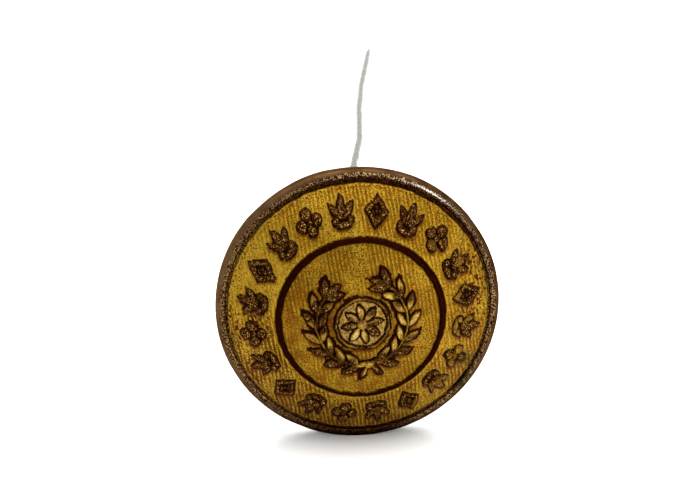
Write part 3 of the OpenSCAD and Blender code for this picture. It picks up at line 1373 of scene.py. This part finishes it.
@dataclass(frozen=True)
class BrownedRim:
    """Smooth brown outer side of the rim, with a grainy, worn crest, and painted glint, sheen and
    shade.
    """

    brown: Colour = (0.072, 0.037, 0.0175)
    umber: Colour = (0.036, 0.0165, 0.006)
    # painted sheen colour, laid on the rim's outer side at the upper left
    worn: Colour = (0.13, 0.072, 0.03)
    black: Colour = (0.008, 0.0018, 0.001)
    rust: Colour = (0.075, 0.022, 0.006)
    tan: Colour = (0.3, 0.165, 0.05)
    # worn-bright metal colour, also standing for a painted highlight on the crest
    rubbed_and_highlit: Colour = (0.5, 0.37, 0.2)
    # near-white colour of the painted glint highlight
    bright: Colour = (0.95, 0.9, 0.8)
    dirt: Colour = (0.016, 0.018, 0.006)
    edge_tint: Colour = (0.54, 0.42, 0.32)
    fine: Grain = Grain(8.5, 1.0, 0.6)
    blotch: Grain = Grain(0.6, 4.0, 0.65)
    swell_depth: float = 0.04
    grain_depth: float = 0.08

    def crest(self, box: Paintbox, colour: Socket, fine: Socket, crest: Socket) -> Socket:
        """Lays the worn grains of the crest, and a painted glint highlight at the upper right,
        over a colour.

        Args:
            box: node layout of the material.
            colour: colour of the rim without them.
            fine: pattern of the grains.
            crest: how far a place belongs to the crest.

        Returns:
            Colour of the rim with its crest.
        """
        rub = box.carried("rub")
        # the worn crest's grains, brightened as a painted highlight where the crest catches the
        # light
        lit = box.times(box.span(rub, Ramp(0.0, 0.6, 0.5, 1.0)), crest)
        return box.coat(
            colour,
            Coat(box.mix(rub, self.tan, self.rubbed_and_highlit), fine, Ramp(0.53, 0.59), lit),
            Coat(self.black, fine, Ramp(0.52, 0.43), crest),
            # painted glint highlight along the crest at the upper right
            Coat(self.bright, fine, Ramp(0.36, 0.46), box.carried("glint")),
        )

    def dress(self) -> bpy.types.Material:
        """Makes the material.

        Returns:
            The material of the rim, its lip and the hollow.
        """
        box = Paintbox("browned_rim")
        where = box.place()
        fine, blotch = box.noise(self.fine, where), box.noise(self.blotch, where)
        crest = box.ragged("crest", fine)
        colour = box.coat(
            self.brown,
            Coat(self.umber, blotch, Ramp(0.38, 0.66)),
            # painted sheen on the rim's outer side at the upper left
            Coat(self.worn, blotch, Ramp(0.62, 0.38, 0.6, 1.0), box.carried("painted_sheen")),
        )
        # painted shade: near-black along the rim's bottom
        colour = box.mix(box.carried("painted_bottom_shade"), colour, self.black)
        # groove: near-black with rust and tan grains, the grains paler where the groove is lit, as
        # painted light
        sand_and_light = box.coat(
            self.black,
            Coat(self.rust, fine, Ramp(0.48, 0.6)),
            Coat(self.tan, fine, Ramp(0.51, 0.57, 0.05, 1.0), box.carried("lit_sand")),
        )
        colour = box.mix(box.ragged("slope", fine), colour, sand_and_light)
        colour = self.crest(box, colour, fine, crest)
        colour = box.coat(
            colour, Coat(self.dirt, blotch, Ramp(0.35, 0.55), box.carried("grime"))
        )
        # worn crest, partly painted highlight, made smoother
        polish_and_sheen = box.times(crest, box.carried("rub"))
        grains = box.times(fine, box.less(crest, box.carried("glint")))
        swell = box.relief(blotch, self.swell_depth)
        return box.finish(
            base_color=colour,
            roughness=box.span(polish_and_sheen, Ramp(0.0, 1.0, 0.54, 0.28)),
            metallic=1.0,
            normal=box.relief(grains, self.grain_depth, swell),
            specular_tint=self.edge_tint,
        )


@dataclass(frozen=True)
class TonedBrass:
    """Dull brass of the back plate, darker towards the lip and the cement."""

    brass: Colour = (0.25, 0.15, 0.045)
    brown: Colour = (0.075, 0.036, 0.012)
    dark: Colour = (0.014, 0.008, 0.0045)
    scratched: Colour = (0.42, 0.28, 0.11)
    edge_tint: Colour = (0.55, 0.4, 0.24)
    blotch: Grain = Grain(0.4, 4.0, 0.65)
    scratch: Grain = Grain(1.0, 3.0, 0.6, (9.0, 1.0, 0.5))
    specks: Grain = Grain(1.9, 4.0, 0.7)
    scratch_turn: float = 34.0
    scratch_depth: float = 0.012
    swell_depth: float = 0.05

    def dress(self) -> bpy.types.Material:
        """Makes the material.

        Returns:
            The material of the back plate.
        """
        box = Paintbox("toned_brass")
        where = box.place()
        blotch = box.noise(self.blotch, where)
        box.turn = self.scratch_turn
        scratch = box.noise(self.scratch)
        specks = box.span(box.noise(self.specks, where), Ramp(0.62, 0.72))
        colour = box.coat(
            self.brass,
            Coat(self.brown, blotch, Ramp(0.36, 0.66)),
            Coat(self.scratched, scratch, Ramp(0.6, 0.75, 0.0, 0.4)),
        )
        colour = box.mix(specks, colour, self.dark)
        swell = box.relief(blotch, self.swell_depth)
        return box.finish(
            base_color=box.mix(box.carried("stain"), colour, self.dark),
            roughness=box.span(box.add(blotch, specks), Ramp(0.3, 0.9, 0.42, 0.64)),
            metallic=0.9,
            normal=box.relief(scratch, self.scratch_depth, swell),
            specular_tint=self.edge_tint,
        )


@dataclass(frozen=True)
class DrawnSteel:
    """Bright drawn wire with fine lengthwise lines and a few rust flecks."""

    steel: Colour = (0.36, 0.365, 0.325)
    dull: Colour = (0.2, 0.2, 0.17)
    rust: Colour = (0.16, 0.08, 0.03)
    lines: Grain = Grain(1.0, 3.0, 0.7, (9.0, 0.12, 9.0))
    blotch: Grain = Grain(0.5, 3.0, 0.6)
    flecks: Grain = Grain(2.2, 4.0, 0.7)
    line_depth: float = 0.006

    def dress(self) -> bpy.types.Material:
        """Makes the material.

        Returns:
            The material of the wire.
        """
        box = Paintbox("drawn_steel")
        where, lines = box.place(), box.noise(self.lines)
        blotch = box.noise(self.blotch, where)
        flecks = box.span(box.noise(self.flecks, where), Ramp(0.66, 0.73))
        colour = box.coat(
            self.steel,
            Coat(self.dull, lines, Ramp(0.35, 0.7, 0.0, 0.6)),
            Coat(self.dull, blotch, Ramp(0.45, 0.75, 0.0, 0.4)),
        )
        return box.finish(
            base_color=box.mix(flecks, colour, self.rust),
            roughness=box.span(box.add(blotch, flecks), Ramp(0.3, 0.8, 0.24, 0.46)),
            metallic=1.0,
            normal=box.relief(lines, self.line_depth),
        )


@dataclass(frozen=True)
class Brazing:
    """Yellow brazing metal over a steel pad, burnt dark at its edge."""

    braze: Colour = (0.4, 0.25, 0.075)
    steel: Colour = (0.2, 0.18, 0.145)
    burnt: Colour = (0.026, 0.016, 0.01)
    edge_tint: Colour = (0.6, 0.52, 0.42)
    blotch: Grain = Grain(1.1, 4.0, 0.65)
    run_out: Ramp = Ramp(0.45, 0.75)
    lump_depth: float = 0.09

    def dress(self) -> bpy.types.Material:
        """Makes the material.

        Returns:
            The material of the foot pad.
        """
        box = Paintbox("brazing")
        blotch = box.noise(self.blotch)
        flowed = box.add(box.carried("braze"), box.span(blotch, box.torn))
        colour = box.mix(box.span(flowed, self.run_out), self.steel, self.braze)
        return box.finish(
            base_color=box.coat(colour, Coat(self.burnt, blotch, Ramp(0.52, 0.66, 0.0, 0.85))),
            roughness=box.span(blotch, Ramp(0.3, 0.7, 0.34, 0.58)),
            metallic=0.95,
            normal=box.relief(blotch, self.lump_depth),
            specular_tint=self.edge_tint,
        )


# Meshes


@dataclass
class Skin:
    """Points and faces of one piece, with values carried at the points."""

    points: np.ndarray
    faces: Faces
    carried: dict[str, np.ndarray] = field(default_factory=dict)
    finish_of: np.ndarray | None = None

    def piece(
        self, name: str, nodes: tuple[str, ...], finishes: list[bpy.types.Material]
    ) -> bpy.types.Object:
        """Makes the object, smooth shaded, and hands it to the frame.

        Args:
            name: name of the piece.
            nodes: CAD nodes that it stands for.
            finishes: its materials.

        Returns:
            The object.
        """
        mesh = bpy.data.meshes.new(name)
        mesh.from_pydata(self.points.tolist(), [], self.faces)
        for key, values in self.carried.items():
            layer = mesh.attributes.new(key, "FLOAT", "POINT")
            layer.data.foreach_set("value", np.asarray(values, np.float32))
        if self.finish_of is not None:
            mesh.polygons.foreach_set("material_index", self.finish_of.astype(np.int32))
        mesh.polygons.foreach_set("use_smooth", np.ones(len(mesh.polygons), bool))
        mesh.update()
        thing = bpy.data.objects.new(name, mesh)
        bpy.context.scene.collection.objects.link(thing)
        for finish in finishes:
            mesh.materials.append(finish)
        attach(thing, "root")
        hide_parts(*nodes)
        LOG.info("%s: %d points, %d faces", name, len(mesh.vertices), len(mesh.polygons))
        return thing


def round_angles(count: int) -> np.ndarray:
    """Angles of evenly spaced points round a loop, in radians."""
    return 2 * np.pi * np.arange(count) / count


def band(first: list[int], second: list[int]) -> Faces:
    """Four-sided faces round the band between two loops of equal length."""
    pairs = [(i, (i + 1) % len(first)) for i in range(len(first))]
    return [(first[i], first[j], second[j], second[i]) for i, j in pairs]


def fan(loop: list[int], hub: int) -> Faces:
    """Three-sided faces between a loop and a point, turned as the loop is."""
    return [(loop[i], loop[(i + 1) % len(loop)], hub) for i in range(len(loop))]


def sweep(
    corner: tuple[float, float], radius: float, arc: tuple[float, float], steps: int
) -> Section:
    """Points of an arc in a section.

    Args:
        corner: centre of the arc.
        radius: its radius.
        arc: its first and last angle, in degrees.
        steps: number of stretches.

    Returns:
        The points, ends included.
    """
    start, end = arc
    angles = [math.radians(start + (end - start) * i / steps) for i in range(steps + 1)]
    return [(corner[0] + radius * math.cos(a), corner[1] + radius * math.sin(a)) for a in angles]


def lathed(section: Section, around: int) -> tuple[np.ndarray, Faces]:
    """Turns a section about Z into a closed skin.

    Args:
        section: radius and height of each loop; a radius of 0 closes an end.
        around: points in a loop.

    Returns:
        Points and faces.
    """
    angles = round_angles(around)
    points: list[np.ndarray] = []
    faces: Faces = []
    last: list[int] = []
    total = 0
    for r, z in section:
        count = around if r > 0 else 1
        turned = angles[:count]
        points.append(np.stack([r * np.cos(turned), r * np.sin(turned), np.full(count, z)], 1))
        fresh = list(range(total, total + count))
        if len(last) == len(fresh) == around:
            faces += band(last, fresh)
        elif last and count == 1:
            faces += fan(last, fresh[0])
        elif last:
            faces += [(hub, second, first) for first, second, hub in fan(fresh, last[0])]
        total += count
        last = fresh
    return np.concatenate(points), faces


# The button


@dataclass
class RolledRim:
    """The rolled rim round the face: its section, its dents and its wear.

    The valley holds the radius and height of the loops between the groove and the
    crest. Each name with _z is a height above which something is there. All sizes
    are in millimetres, and dented and grained count the section's loops.
    """

    sizes: ButtonSizes
    wear: Wear
    around: int
    valley: tuple[tuple[float, float], ...] = (
        (11.03, 0.84),
        (11.07, 0.78),
        (11.12, 0.77),
        (11.17, 0.84),
        (11.22, 0.95),
    )
    shoulder_from: float = 112.0
    shoulder_steps: int = 16
    side_shares: tuple[float, ...] = (0.8, 0.6, 0.4, 0.2)
    roll_steps: int = 10
    lip_mid: float = 10.95
    lip_front: tuple[float, float] = (0.06, 0.03)
    lip_round: float = 0.1
    lip_back: tuple[float, float] = (0.02, 0.08)
    wall_top: float = 0.05
    hollow_edge: tuple[float, float] = (0.35, 0.7)
    hollow: tuple[float, ...] = (10.4, 7.0, 3.5)
    spacing: float = 0.11
    grained: range = range(5, 16)
    dented: int = 36
    uneven_from: float = 0.1
    grain: Unevenness = Unevenness(0.22, 31)
    grain_depth: float = 0.018
    dents: Patches = Patches(2.6, 37, Edge(0.55, 0.95, 0.05))
    middle_z: float = 0.2
    least_off: float = 0.1
    ridge_r: float = 11.42
    front_z: float = 0.55
    ragged_by: float = 0.16
    ragged_z: float = 0.5
    ragged_shift: float = 40.0
    crest_out: float = 0.05
    crest_w: float = 0.16
    # how far the painted shade at the bottom hides the crest's grains
    crest_in_bottom_shade: float = 0.85
    slope: Edge = Edge(-0.18, 0.0)
    glint: Peak = Peak(0.03, 0.05)
    grime_z: float = 0.0
    bottom_shade_z: float = -0.3
    # radius from which the painted sheen is laid
    painted_sheen_r: Edge = Edge(11.5, 11.8)

    def __post_init__(self) -> None:
        """Works out the angles of the loops' points."""
        self.angles = round_angles(self.around) + math.radians(self.sizes.design_turn)

    def section(self) -> Section:
        """Section of the rim, from the ground's edge round to the hollow's middle.

        Returns:
            Radius and height of each loop.
        """
        s, edge = self.sizes, self.lip_round
        lip_z, lip_r = s.roll_z - s.roll_r, s.roll_c - s.lip_w / 2
        (front_r, front_z), (back_r, back_z) = self.lip_front, self.lip_back
        edge_in, edge_z = self.hollow_edge
        shoulder, arc = (s.shoulder_c, s.shoulder_z), (self.shoulder_from, 0)
        section = list(self.valley)
        section += sweep(shoulder, s.shoulder_r, arc, self.shoulder_steps)
        section += [(s.rim_r, s.shoulder_z * t + s.roll_z * (1 - t)) for t in self.side_shares]
        section += sweep((s.roll_c, s.roll_z), s.roll_r, (0, -90), self.roll_steps)
        section += [(self.lip_mid, lip_z), (lip_r, lip_z), (lip_r - front_r, lip_z + front_z)]
        section += [(lip_r - edge, lip_z + edge), (lip_r - edge, lip_z + s.lip_t - back_z)]
        section += [(lip_r - back_r, lip_z + s.lip_t), (s.foot_r, lip_z + s.lip_t)]
        section += [(s.foot_r, self.wall_top), (s.foot_r - edge_in, edge_z)]
        return section + [(r, s.dome_at(r, s.sheet)) for r in self.hollow]

    def grid(self, step: int) -> tuple[np.ndarray, np.ndarray]:
        """Where a loop's random waves are read: round the rim, and along its section."""
        return self.angles * self.sizes.rim_r, np.full(self.around, self.spacing * step)

    def loop(self, step: int, r: float, level: float) -> np.ndarray:
        """One loop of the rim, grained on the crest and dented on the outer side.

        Args:
            step: its number in the section.
            r: its radius.
            level: its height.

        Returns:
            Its points.
        """
        arc, line = self.grid(step)
        grains = self.grain_depth * self.grain.at(arc, line) * (step in self.grained)
        dents = self.dents.at(arc, line) * (step < self.dented)
        inward = (grains + dents) * (r > self.sizes.ground_r + self.uneven_from)
        off_r, off_z = r - self.sizes.roll_c, level - self.middle_z
        length = max(math.hypot(off_r, off_z), self.least_off)
        here_r, here_z = r - inward * off_r / length, level - inward * off_z / length
        return np.stack([here_r * np.cos(self.angles), here_r * np.sin(self.angles), here_z], 1)

    def carried(self, step: int, r: float, level: float) -> dict[str, np.ndarray]:
        """What the finish reads on one loop.

        Args:
            step: its number in the section.
            r: its radius.
            level: its height.

        Returns:
            Values by name.
        """
        wear, angle, (arc, line) = self.wear, np.degrees(self.angles), self.grid(step)
        black, on_front = wear.black.at(angle), float(level > self.front_z)
        waves = self.grain.at(arc + self.ragged_shift, line) - 0.5
        wander = self.ragged_by * waves * (level > self.ragged_z)
        out = r - self.ridge_r - wear.ridge_out.at(angle)
        off_crest = np.abs(out + wander - self.crest_out)
        crest = np.sqrt(np.clip(1 - off_crest / self.crest_w, 0, 1))
        return {
            "crest": on_front * (1 - self.crest_in_bottom_shade * black) * crest,
            "slope": on_front * (1 - self.slope.at(out + wander)),
            "grime": wear.grimy.at(angle) * (level > self.grime_z),
            "rub": wear.rub_at(angle),
            # painted glint highlight: a narrow near-white line on the crest
            "glint": on_front * along(wear.painted_glint_stretches, angle) * self.glint.at(out),
            "lit_sand": wear.lit_sand_at(angle),
            # painted shade: near-black along the rim's bottom
            "painted_bottom_shade": black * (level > self.bottom_shade_z),
            # painted sheen on the rim's outer side at the upper left
            "painted_sheen": wear.polish_and_sheen.at(angle) * self.painted_sheen_r.at(r + wander),
        }


@dataclass
class ButtonFace:
    """Stamped dome with its ornament and ribs, and the rolled rim round it."""

    sizes: ButtonSizes
    repose: Repose
    wear: Wear = Wear()
    around: int = 560
    across: float = 0.0555
    edge_gap: float = 0.045
    weld: float = 1e-6

    def places(self) -> tuple[np.ndarray, Faces, list[int]]:
        """Lays a fine staggered grid over the ground, in line with the ribs.

        Returns:
            Places in the design's own axes, faces, and the loop at the ground's edge.
        """
        r, dx, dy = self.sizes.ground_r, self.across, 2 * self.across
        rows = int(r / dy)
        grid = []
        for j in range(-rows, rows + 1):
            y = j * dy
            x = np.arange(-r, r + dx, dx) + (dx / 2 if j % 2 else 0.0)
            x = x[np.hypot(x, y) < r - self.edge_gap]
            grid.append(np.stack([x, np.full(len(x), y)], 1))
        angles = round_angles(self.around)
        edge = np.stack([r * np.cos(angles), r * np.sin(angles)], 1)
        corners = [Vector(p) for p in np.concatenate([edge, *grid]).tolist()]
        ties = [(i, (i + 1) % self.around) for i in range(self.around)]
        inside_only = 1
        cut = delaunay_2d_cdt(corners, ties, [], inside_only, self.weld)
        made, _, faces, homes, *_ = cut
        home = {old: new for new, olds in enumerate(homes) for old in olds}
        places = np.array([tuple(p) for p in made])
        return places, [tuple(f) for f in faces], [home[i] for i in range(self.around)]

    def build(self) -> bpy.types.Object:
        """Builds and dresses the face.

        Returns:
            The piece.
        """
        s = self.sizes
        places, faces, loop = self.places()
        x, y = places.T
        ground = StampedGround(s, self.wear, x, y)
        z = s.dome_z + np.sqrt((s.dome_r + ground.relief()) ** 2 - x**2 - y**2)
        points = [np.stack([ground.right, ground.up, z], 1)]
        rim, rim_faces, rows, total = RolledRim(s, self.wear, self.around), [], [], len(places)
        for step, (r, level) in enumerate(rim.section()):
            points.append(rim.loop(step, r, level))
            rows.append(rim.carried(step, r, level))
            fresh = list(range(total, total + self.around))
            rim_faces += band(loop, fresh)
            loop, total = fresh, total + self.around
        points.append(np.array([[0.0, 0.0, s.dome_at(0, s.sheet)]]))
        rim_faces += fan(loop, total)
        on_ground = ground.carried()
        on_rim = {key: np.concatenate([*(row[key] for row in rows), [0.0]]) for key in rows[0]}
        no_ground, no_rim = np.zeros(len(places)), np.zeros(total + 1 - len(places))
        carried = {
            key: np.concatenate([on_ground.get(key, no_ground), on_rim.get(key, no_rim)])
            for key in {**on_ground, **on_rim}
        }
        skin = Skin(self.repose.to_world(np.concatenate(points)), faces + rim_faces, carried)
        skin.finish_of = np.repeat([0, 1], [len(faces), len(rim_faces)])
        finishes = [WornGilding(turn=s.design_turn).dress(), BrownedRim().dress()]
        return skin.piece("gilt_face", ("button_face",), finishes)


@dataclass
class ButtonBack:
    """Dished closing plate under the rim's lip."""

    sizes: ButtonSizes
    repose: Repose
    around: int = 256
    rings: int = 36
    bead: tuple[tuple[float, float], ...] = ((0.15, -0.17), (0.3, -0.1), (0.5, 0.0))
    rim_gap: float = 0.15
    front_out: float = 0.3
    front_shares: tuple[float, ...] = (1.0, 0.75, 0.5, 0.25, 0.0)
    rear_z: float = -0.5
    dents: Patches = Patches(3.1, 53, Edge(0.45, 0.9, 0.05))
    dents_r: Edge = Edge(3.6, 4.6)
    edge_stain: Edge = Edge(8.6, 9.9)
    pad_stain: Peak = Peak(3.75, 0.35)
    stain_waves: Unevenness = Unevenness(0.9, 59)
    stain_least: float = 0.45

    def section(self) -> Section:
        """Section of the plate, from the middle of its rear to the middle of its front.

        Returns:
            Radius and height of each loop.
        """
        s = self.sizes
        out_r, rear_z, front_z = s.foot_r - self.rim_gap, s.flange_z, s.flange_z + s.plate_t
        radii = [s.pan_r * i / self.rings for i in range(self.rings + 1)]
        section = [(r, s.dish_at(r)) for r in radii]
        section += [(s.pan_r + out, rear_z + level) for out, level in self.bead]
        section += [(out_r, rear_z), (out_r, front_z), (s.pan_r + self.front_out, front_z)]
        inner = [s.pan_r * share for share in self.front_shares]
        return section + [(r, s.dish_at(r) + s.plate_t) for r in inner]

    def build(self) -> bpy.types.Object:
        """Builds and dresses the plate, with shallow dents outside the foot pad.

        Returns:
            The piece.
        """
        points, faces = lathed(self.section(), self.around)
        x, y, z = points.T
        r = np.hypot(x, y)
        rear = (r < self.sizes.pan_r) & (z < self.rear_z)
        dents = self.dents.at(x, y) * self.dents_r.at(r)
        stain = np.maximum(self.edge_stain.at(r), self.pad_stain.at(r))
        least = self.stain_least
        stain = stain * (least + (1 - least) * self.stain_waves.at(x, y))
        points[:, 2] += np.where(rear, dents, 0.0)
        skin = Skin(self.repose.to_world(points), faces, {"stain": stain})
        return skin.piece("back_plate", ("button_back",), [TonedBrass().dress()])


# The pin


@dataclass
class Pin:
    """Bent steel wire with its point, and the brazed foot pad."""

    sizes: PinSizes
    repose: Repose
    around: int = 28
    route_step: float = 0.8
    sunk: float = 0.01
    draw_marks: float = 0.015
    draw_waves: Unevenness = Unevenness(1.3, 71)
    end_turns: tuple[int, ...] = (27, 54, 81)
    pad_around: int = 96
    front_rings: tuple[float, ...] = (0.0, 1.2, 2.4)
    edge_steps: int = 5
    rear_rings: tuple[float, ...] = (2.9, 2.4, 1.9, 1.6)
    fillet_steps: int = 12
    waves: tuple[tuple[float, int, float], ...] = ((0.12, 2, 0.7), (0.07, 5, 2.0))
    flow: Peak = Peak(1.5, 0.5, 0.03)
    braze_edge: Edge = Edge(1.7, 2.3)

    def wire_loops(self) -> list[tuple[float, float, float, float]]:
        """Loops of the wire, from inside the foot pad to its blunt end.

        Returns:
            Sideways and rearward place, heading in radians and radius of each loop.
        """
        s = self.sizes
        taper_from = s.pin_l - s.point_l
        loops: list[tuple[float, float, float, float]] = []
        for side, back, heading, so_far in s.route(self.route_step):
            if so_far <= s.pad_t - self.sunk:
                continue
            taper = max(0.0, (so_far - taper_from) / s.point_l)
            mark = float(self.draw_waves.at(np.array(so_far), np.array(0.0)))
            radius = s.wire_r * (1 - self.draw_marks * mark) * (1 - taper) + s.tip_r * taper
            loops.append((side, back, heading, radius))
        side, back, heading, _ = loops[-1]
        for turn in map(math.radians, self.end_turns):
            step, radius = s.tip_r * math.sin(turn), s.tip_r * math.cos(turn)
            x, y = side + step * math.sin(heading), back + step * math.cos(heading)
            loops.append((x, y, heading, radius))
        return loops

    def wire(self) -> bpy.types.Object:
        """Builds and dresses the wire.

        Returns:
            The piece.
        """
        angles = round_angles(self.around)
        rows: list[np.ndarray] = []
        faces: Faces = []
        last: list[int] = []
        for side, back, heading, radius in self.wire_loops():
            u, v = radius * np.cos(angles), radius * np.sin(angles)
            level = self.repose.pad_z - back + u * math.sin(heading)
            fresh = list(range(len(rows) * self.around, (len(rows) + 1) * self.around))
            rows.append(np.stack([side + u * math.cos(heading), v, level], 1))
            faces += band(fresh, last) if last else []
            last = fresh
        faces += [tuple(range(self.around)), tuple(reversed(last))]
        skin = Skin(self.repose.to_world(np.concatenate(rows)), faces)
        return skin.piece("pin_wire", ("pin_stem",), [DrawnSteel().dress()])

    def pad_section(self) -> Section:
        """Section of the foot pad and its fillet, from the middle of its front.

        Returns:
            Radius and distance behind its front of each loop.
        """
        s, edge = self.sizes, self.sizes.pad_t / 4
        edge_c, fillet_c = s.pad_d / 2 - edge, (s.wire_r + s.fillet_r, s.pad_t + s.fillet_r)
        section = [(r, 0.0) for r in self.front_rings]
        section += sweep((edge_c, edge), edge, (-90, 0), self.edge_steps)
        section += sweep((edge_c, s.pad_t - edge), edge, (0, 90), self.edge_steps)
        section += [(r, s.pad_t) for r in self.rear_rings]
        section += sweep(fillet_c, s.fillet_r, (-90, -180), self.fillet_steps)
        return section + [(0.0, s.pad_t + s.fillet_r)]

    def foot(self) -> bpy.types.Object:
        """Builds and dresses the foot pad with its brazed fillet.

        Returns:
            The piece.
        """
        points, faces = lathed(self.pad_section(), self.pad_around)
        x, y, behind = points.T
        r, angle, wave = np.hypot(x, y), np.arctan2(y, x), 1.0
        for height, count, phase in self.waves:
            wave = wave + height * np.sin(count * angle + phase)
        on_rear = behind > self.sizes.pad_t / 2
        braze = 1 - self.braze_edge.at(r / wave)
        level = self.repose.pad_z - (behind - self.flow.at(r) * wave * on_rear)
        skin = Skin(self.repose.to_world(np.stack([x, -y, level], 1)), faces, {"braze": braze})
        return skin.piece("pin_foot", ("pin_stem",), [Brazing().dress()])


# Studio


@dataclass(frozen=True)
class SoftLight:
    """One soft round light, in metres and watts."""

    name: str
    place: tuple[float, float, float]
    size: float
    watts: float

    def hang(self, target: Vector) -> bpy.types.Object:
        """Puts the light in place.

        Args:
            target: point that it is aimed at.

        Returns:
            The light.
        """
        lamp = bpy.data.lights.new(self.name, "AREA")
        lamp.shape, lamp.size, lamp.energy = "DISK", self.size, self.watts
        thing = bpy.data.objects.new(self.name, lamp)
        thing.location = self.place
        thing.rotation_euler = (target - Vector(self.place)).to_track_quat("-Z", "Y").to_euler()
        bpy.context.scene.collection.objects.link(thing)
        return thing


@dataclass
class Studio:
    """Pale floor, soft light and the camera."""

    repose: Repose
    floor_half: float = 1.5
    floor_drop: float = 0.00001
    card: tuple[Colour, Colour] = ((0.88, 0.88, 0.87), (0.9, 0.9, 0.9))
    cloud: Grain = Grain(0.08, 2.0, 0.5)
    sky: tuple[float, ...] = (1.0, 0.995, 0.985, 1.0)
    sky_strength: float = 0.86
    lights: tuple[SoftLight, ...] = (
        SoftLight("overhead", (0.03, 0.06, 0.42), 0.66, 4.8),
        SoftLight("side_glint", (0.19, -0.29, 0.075), 0.06, 0.3),
    )
    lens: float = 72.85
    film: float = 36.0
    clip: tuple[float, float] = (0.005, 10.0)
    camera_from_core: tuple[float, float, float] = (-9.290, -107.216, 53.305)
    look: tuple[float, float, float] = (0.07339, 0.90999, -0.40809)

    def core(self) -> Vector:
        """The centre of the button's widest plane, in metres."""
        return Vector((0.0, self.repose.shift, self.repose.centre_z)) * MM

    def floor(self) -> bpy.types.Object:
        """Lays a wide, nearly white floor.

        Returns:
            The floor.
        """
        box = Paintbox("white_card")
        tone = box.mix(box.span(box.noise(self.cloud), Ramp(0.3, 0.7)), *self.card)
        mesh = bpy.data.meshes.new("floor")
        corners = [(-1, -1), (1, -1), (1, 1), (-1, 1)]
        points = [(x * self.floor_half, y * self.floor_half, -self.floor_drop) for x, y in corners]
        mesh.from_pydata(points, [], [(0, 1, 2, 3)])
        mesh.materials.append(box.finish(base_color=tone, roughness=0.6, metallic=0.0))
        thing = bpy.data.objects.new("floor", mesh)
        bpy.context.scene.collection.objects.link(thing)
        return thing

    def light(self) -> None:
        """Lights the scene evenly, with a soft light from above and behind."""
        world = bpy.data.worlds.new("studio")
        world.use_nodes = True
        sky = next(n for n in world.node_tree.nodes if n.type == "BACKGROUND")
        sky.inputs["Color"].default_value = self.sky
        sky.inputs["Strength"].default_value = self.sky_strength
        bpy.context.scene.world = world
        for light in self.lights:
            light.hang(self.core())

    def shoot(self) -> None:
        """Places the camera as the photograph's."""
        lens = bpy.data.cameras.new("camera")
        lens.sensor_width, lens.sensor_fit, lens.lens = self.film, "HORIZONTAL", self.lens
        lens.clip_start, lens.clip_end = self.clip
        camera = bpy.data.objects.new("camera", lens)
        camera.location = self.core() + Vector(self.camera_from_core) * MM
        camera.rotation_euler = Vector(self.look).to_track_quat("-Z", "Y").to_euler()
        bpy.context.scene.collection.objects.link(camera)
        bpy.context.scene.camera = camera
        bpy.context.scene.view_settings.view_transform = "Standard"


def main() -> None:
    """Builds every piece, then the studio."""
    logging.basicConfig(level=logging.INFO, format="%(name)s: %(message)s")
    button, pin = ButtonSizes(), PinSizes()
    repose = Repose(button, pin)
    lean = math.degrees(repose.lean)
    LOG.info("lean %.4f degrees, centre %.4f mm high", lean, repose.centre_z)
    ButtonFace(button, repose).build()
    ButtonBack(button, repose).build()
    stem = Pin(pin, repose)
    stem.wire()
    stem.foot()
    studio = Studio(repose)
    studio.floor()
    studio.light()
    studio.shoot()


if __name__ == "__main__":
    main()
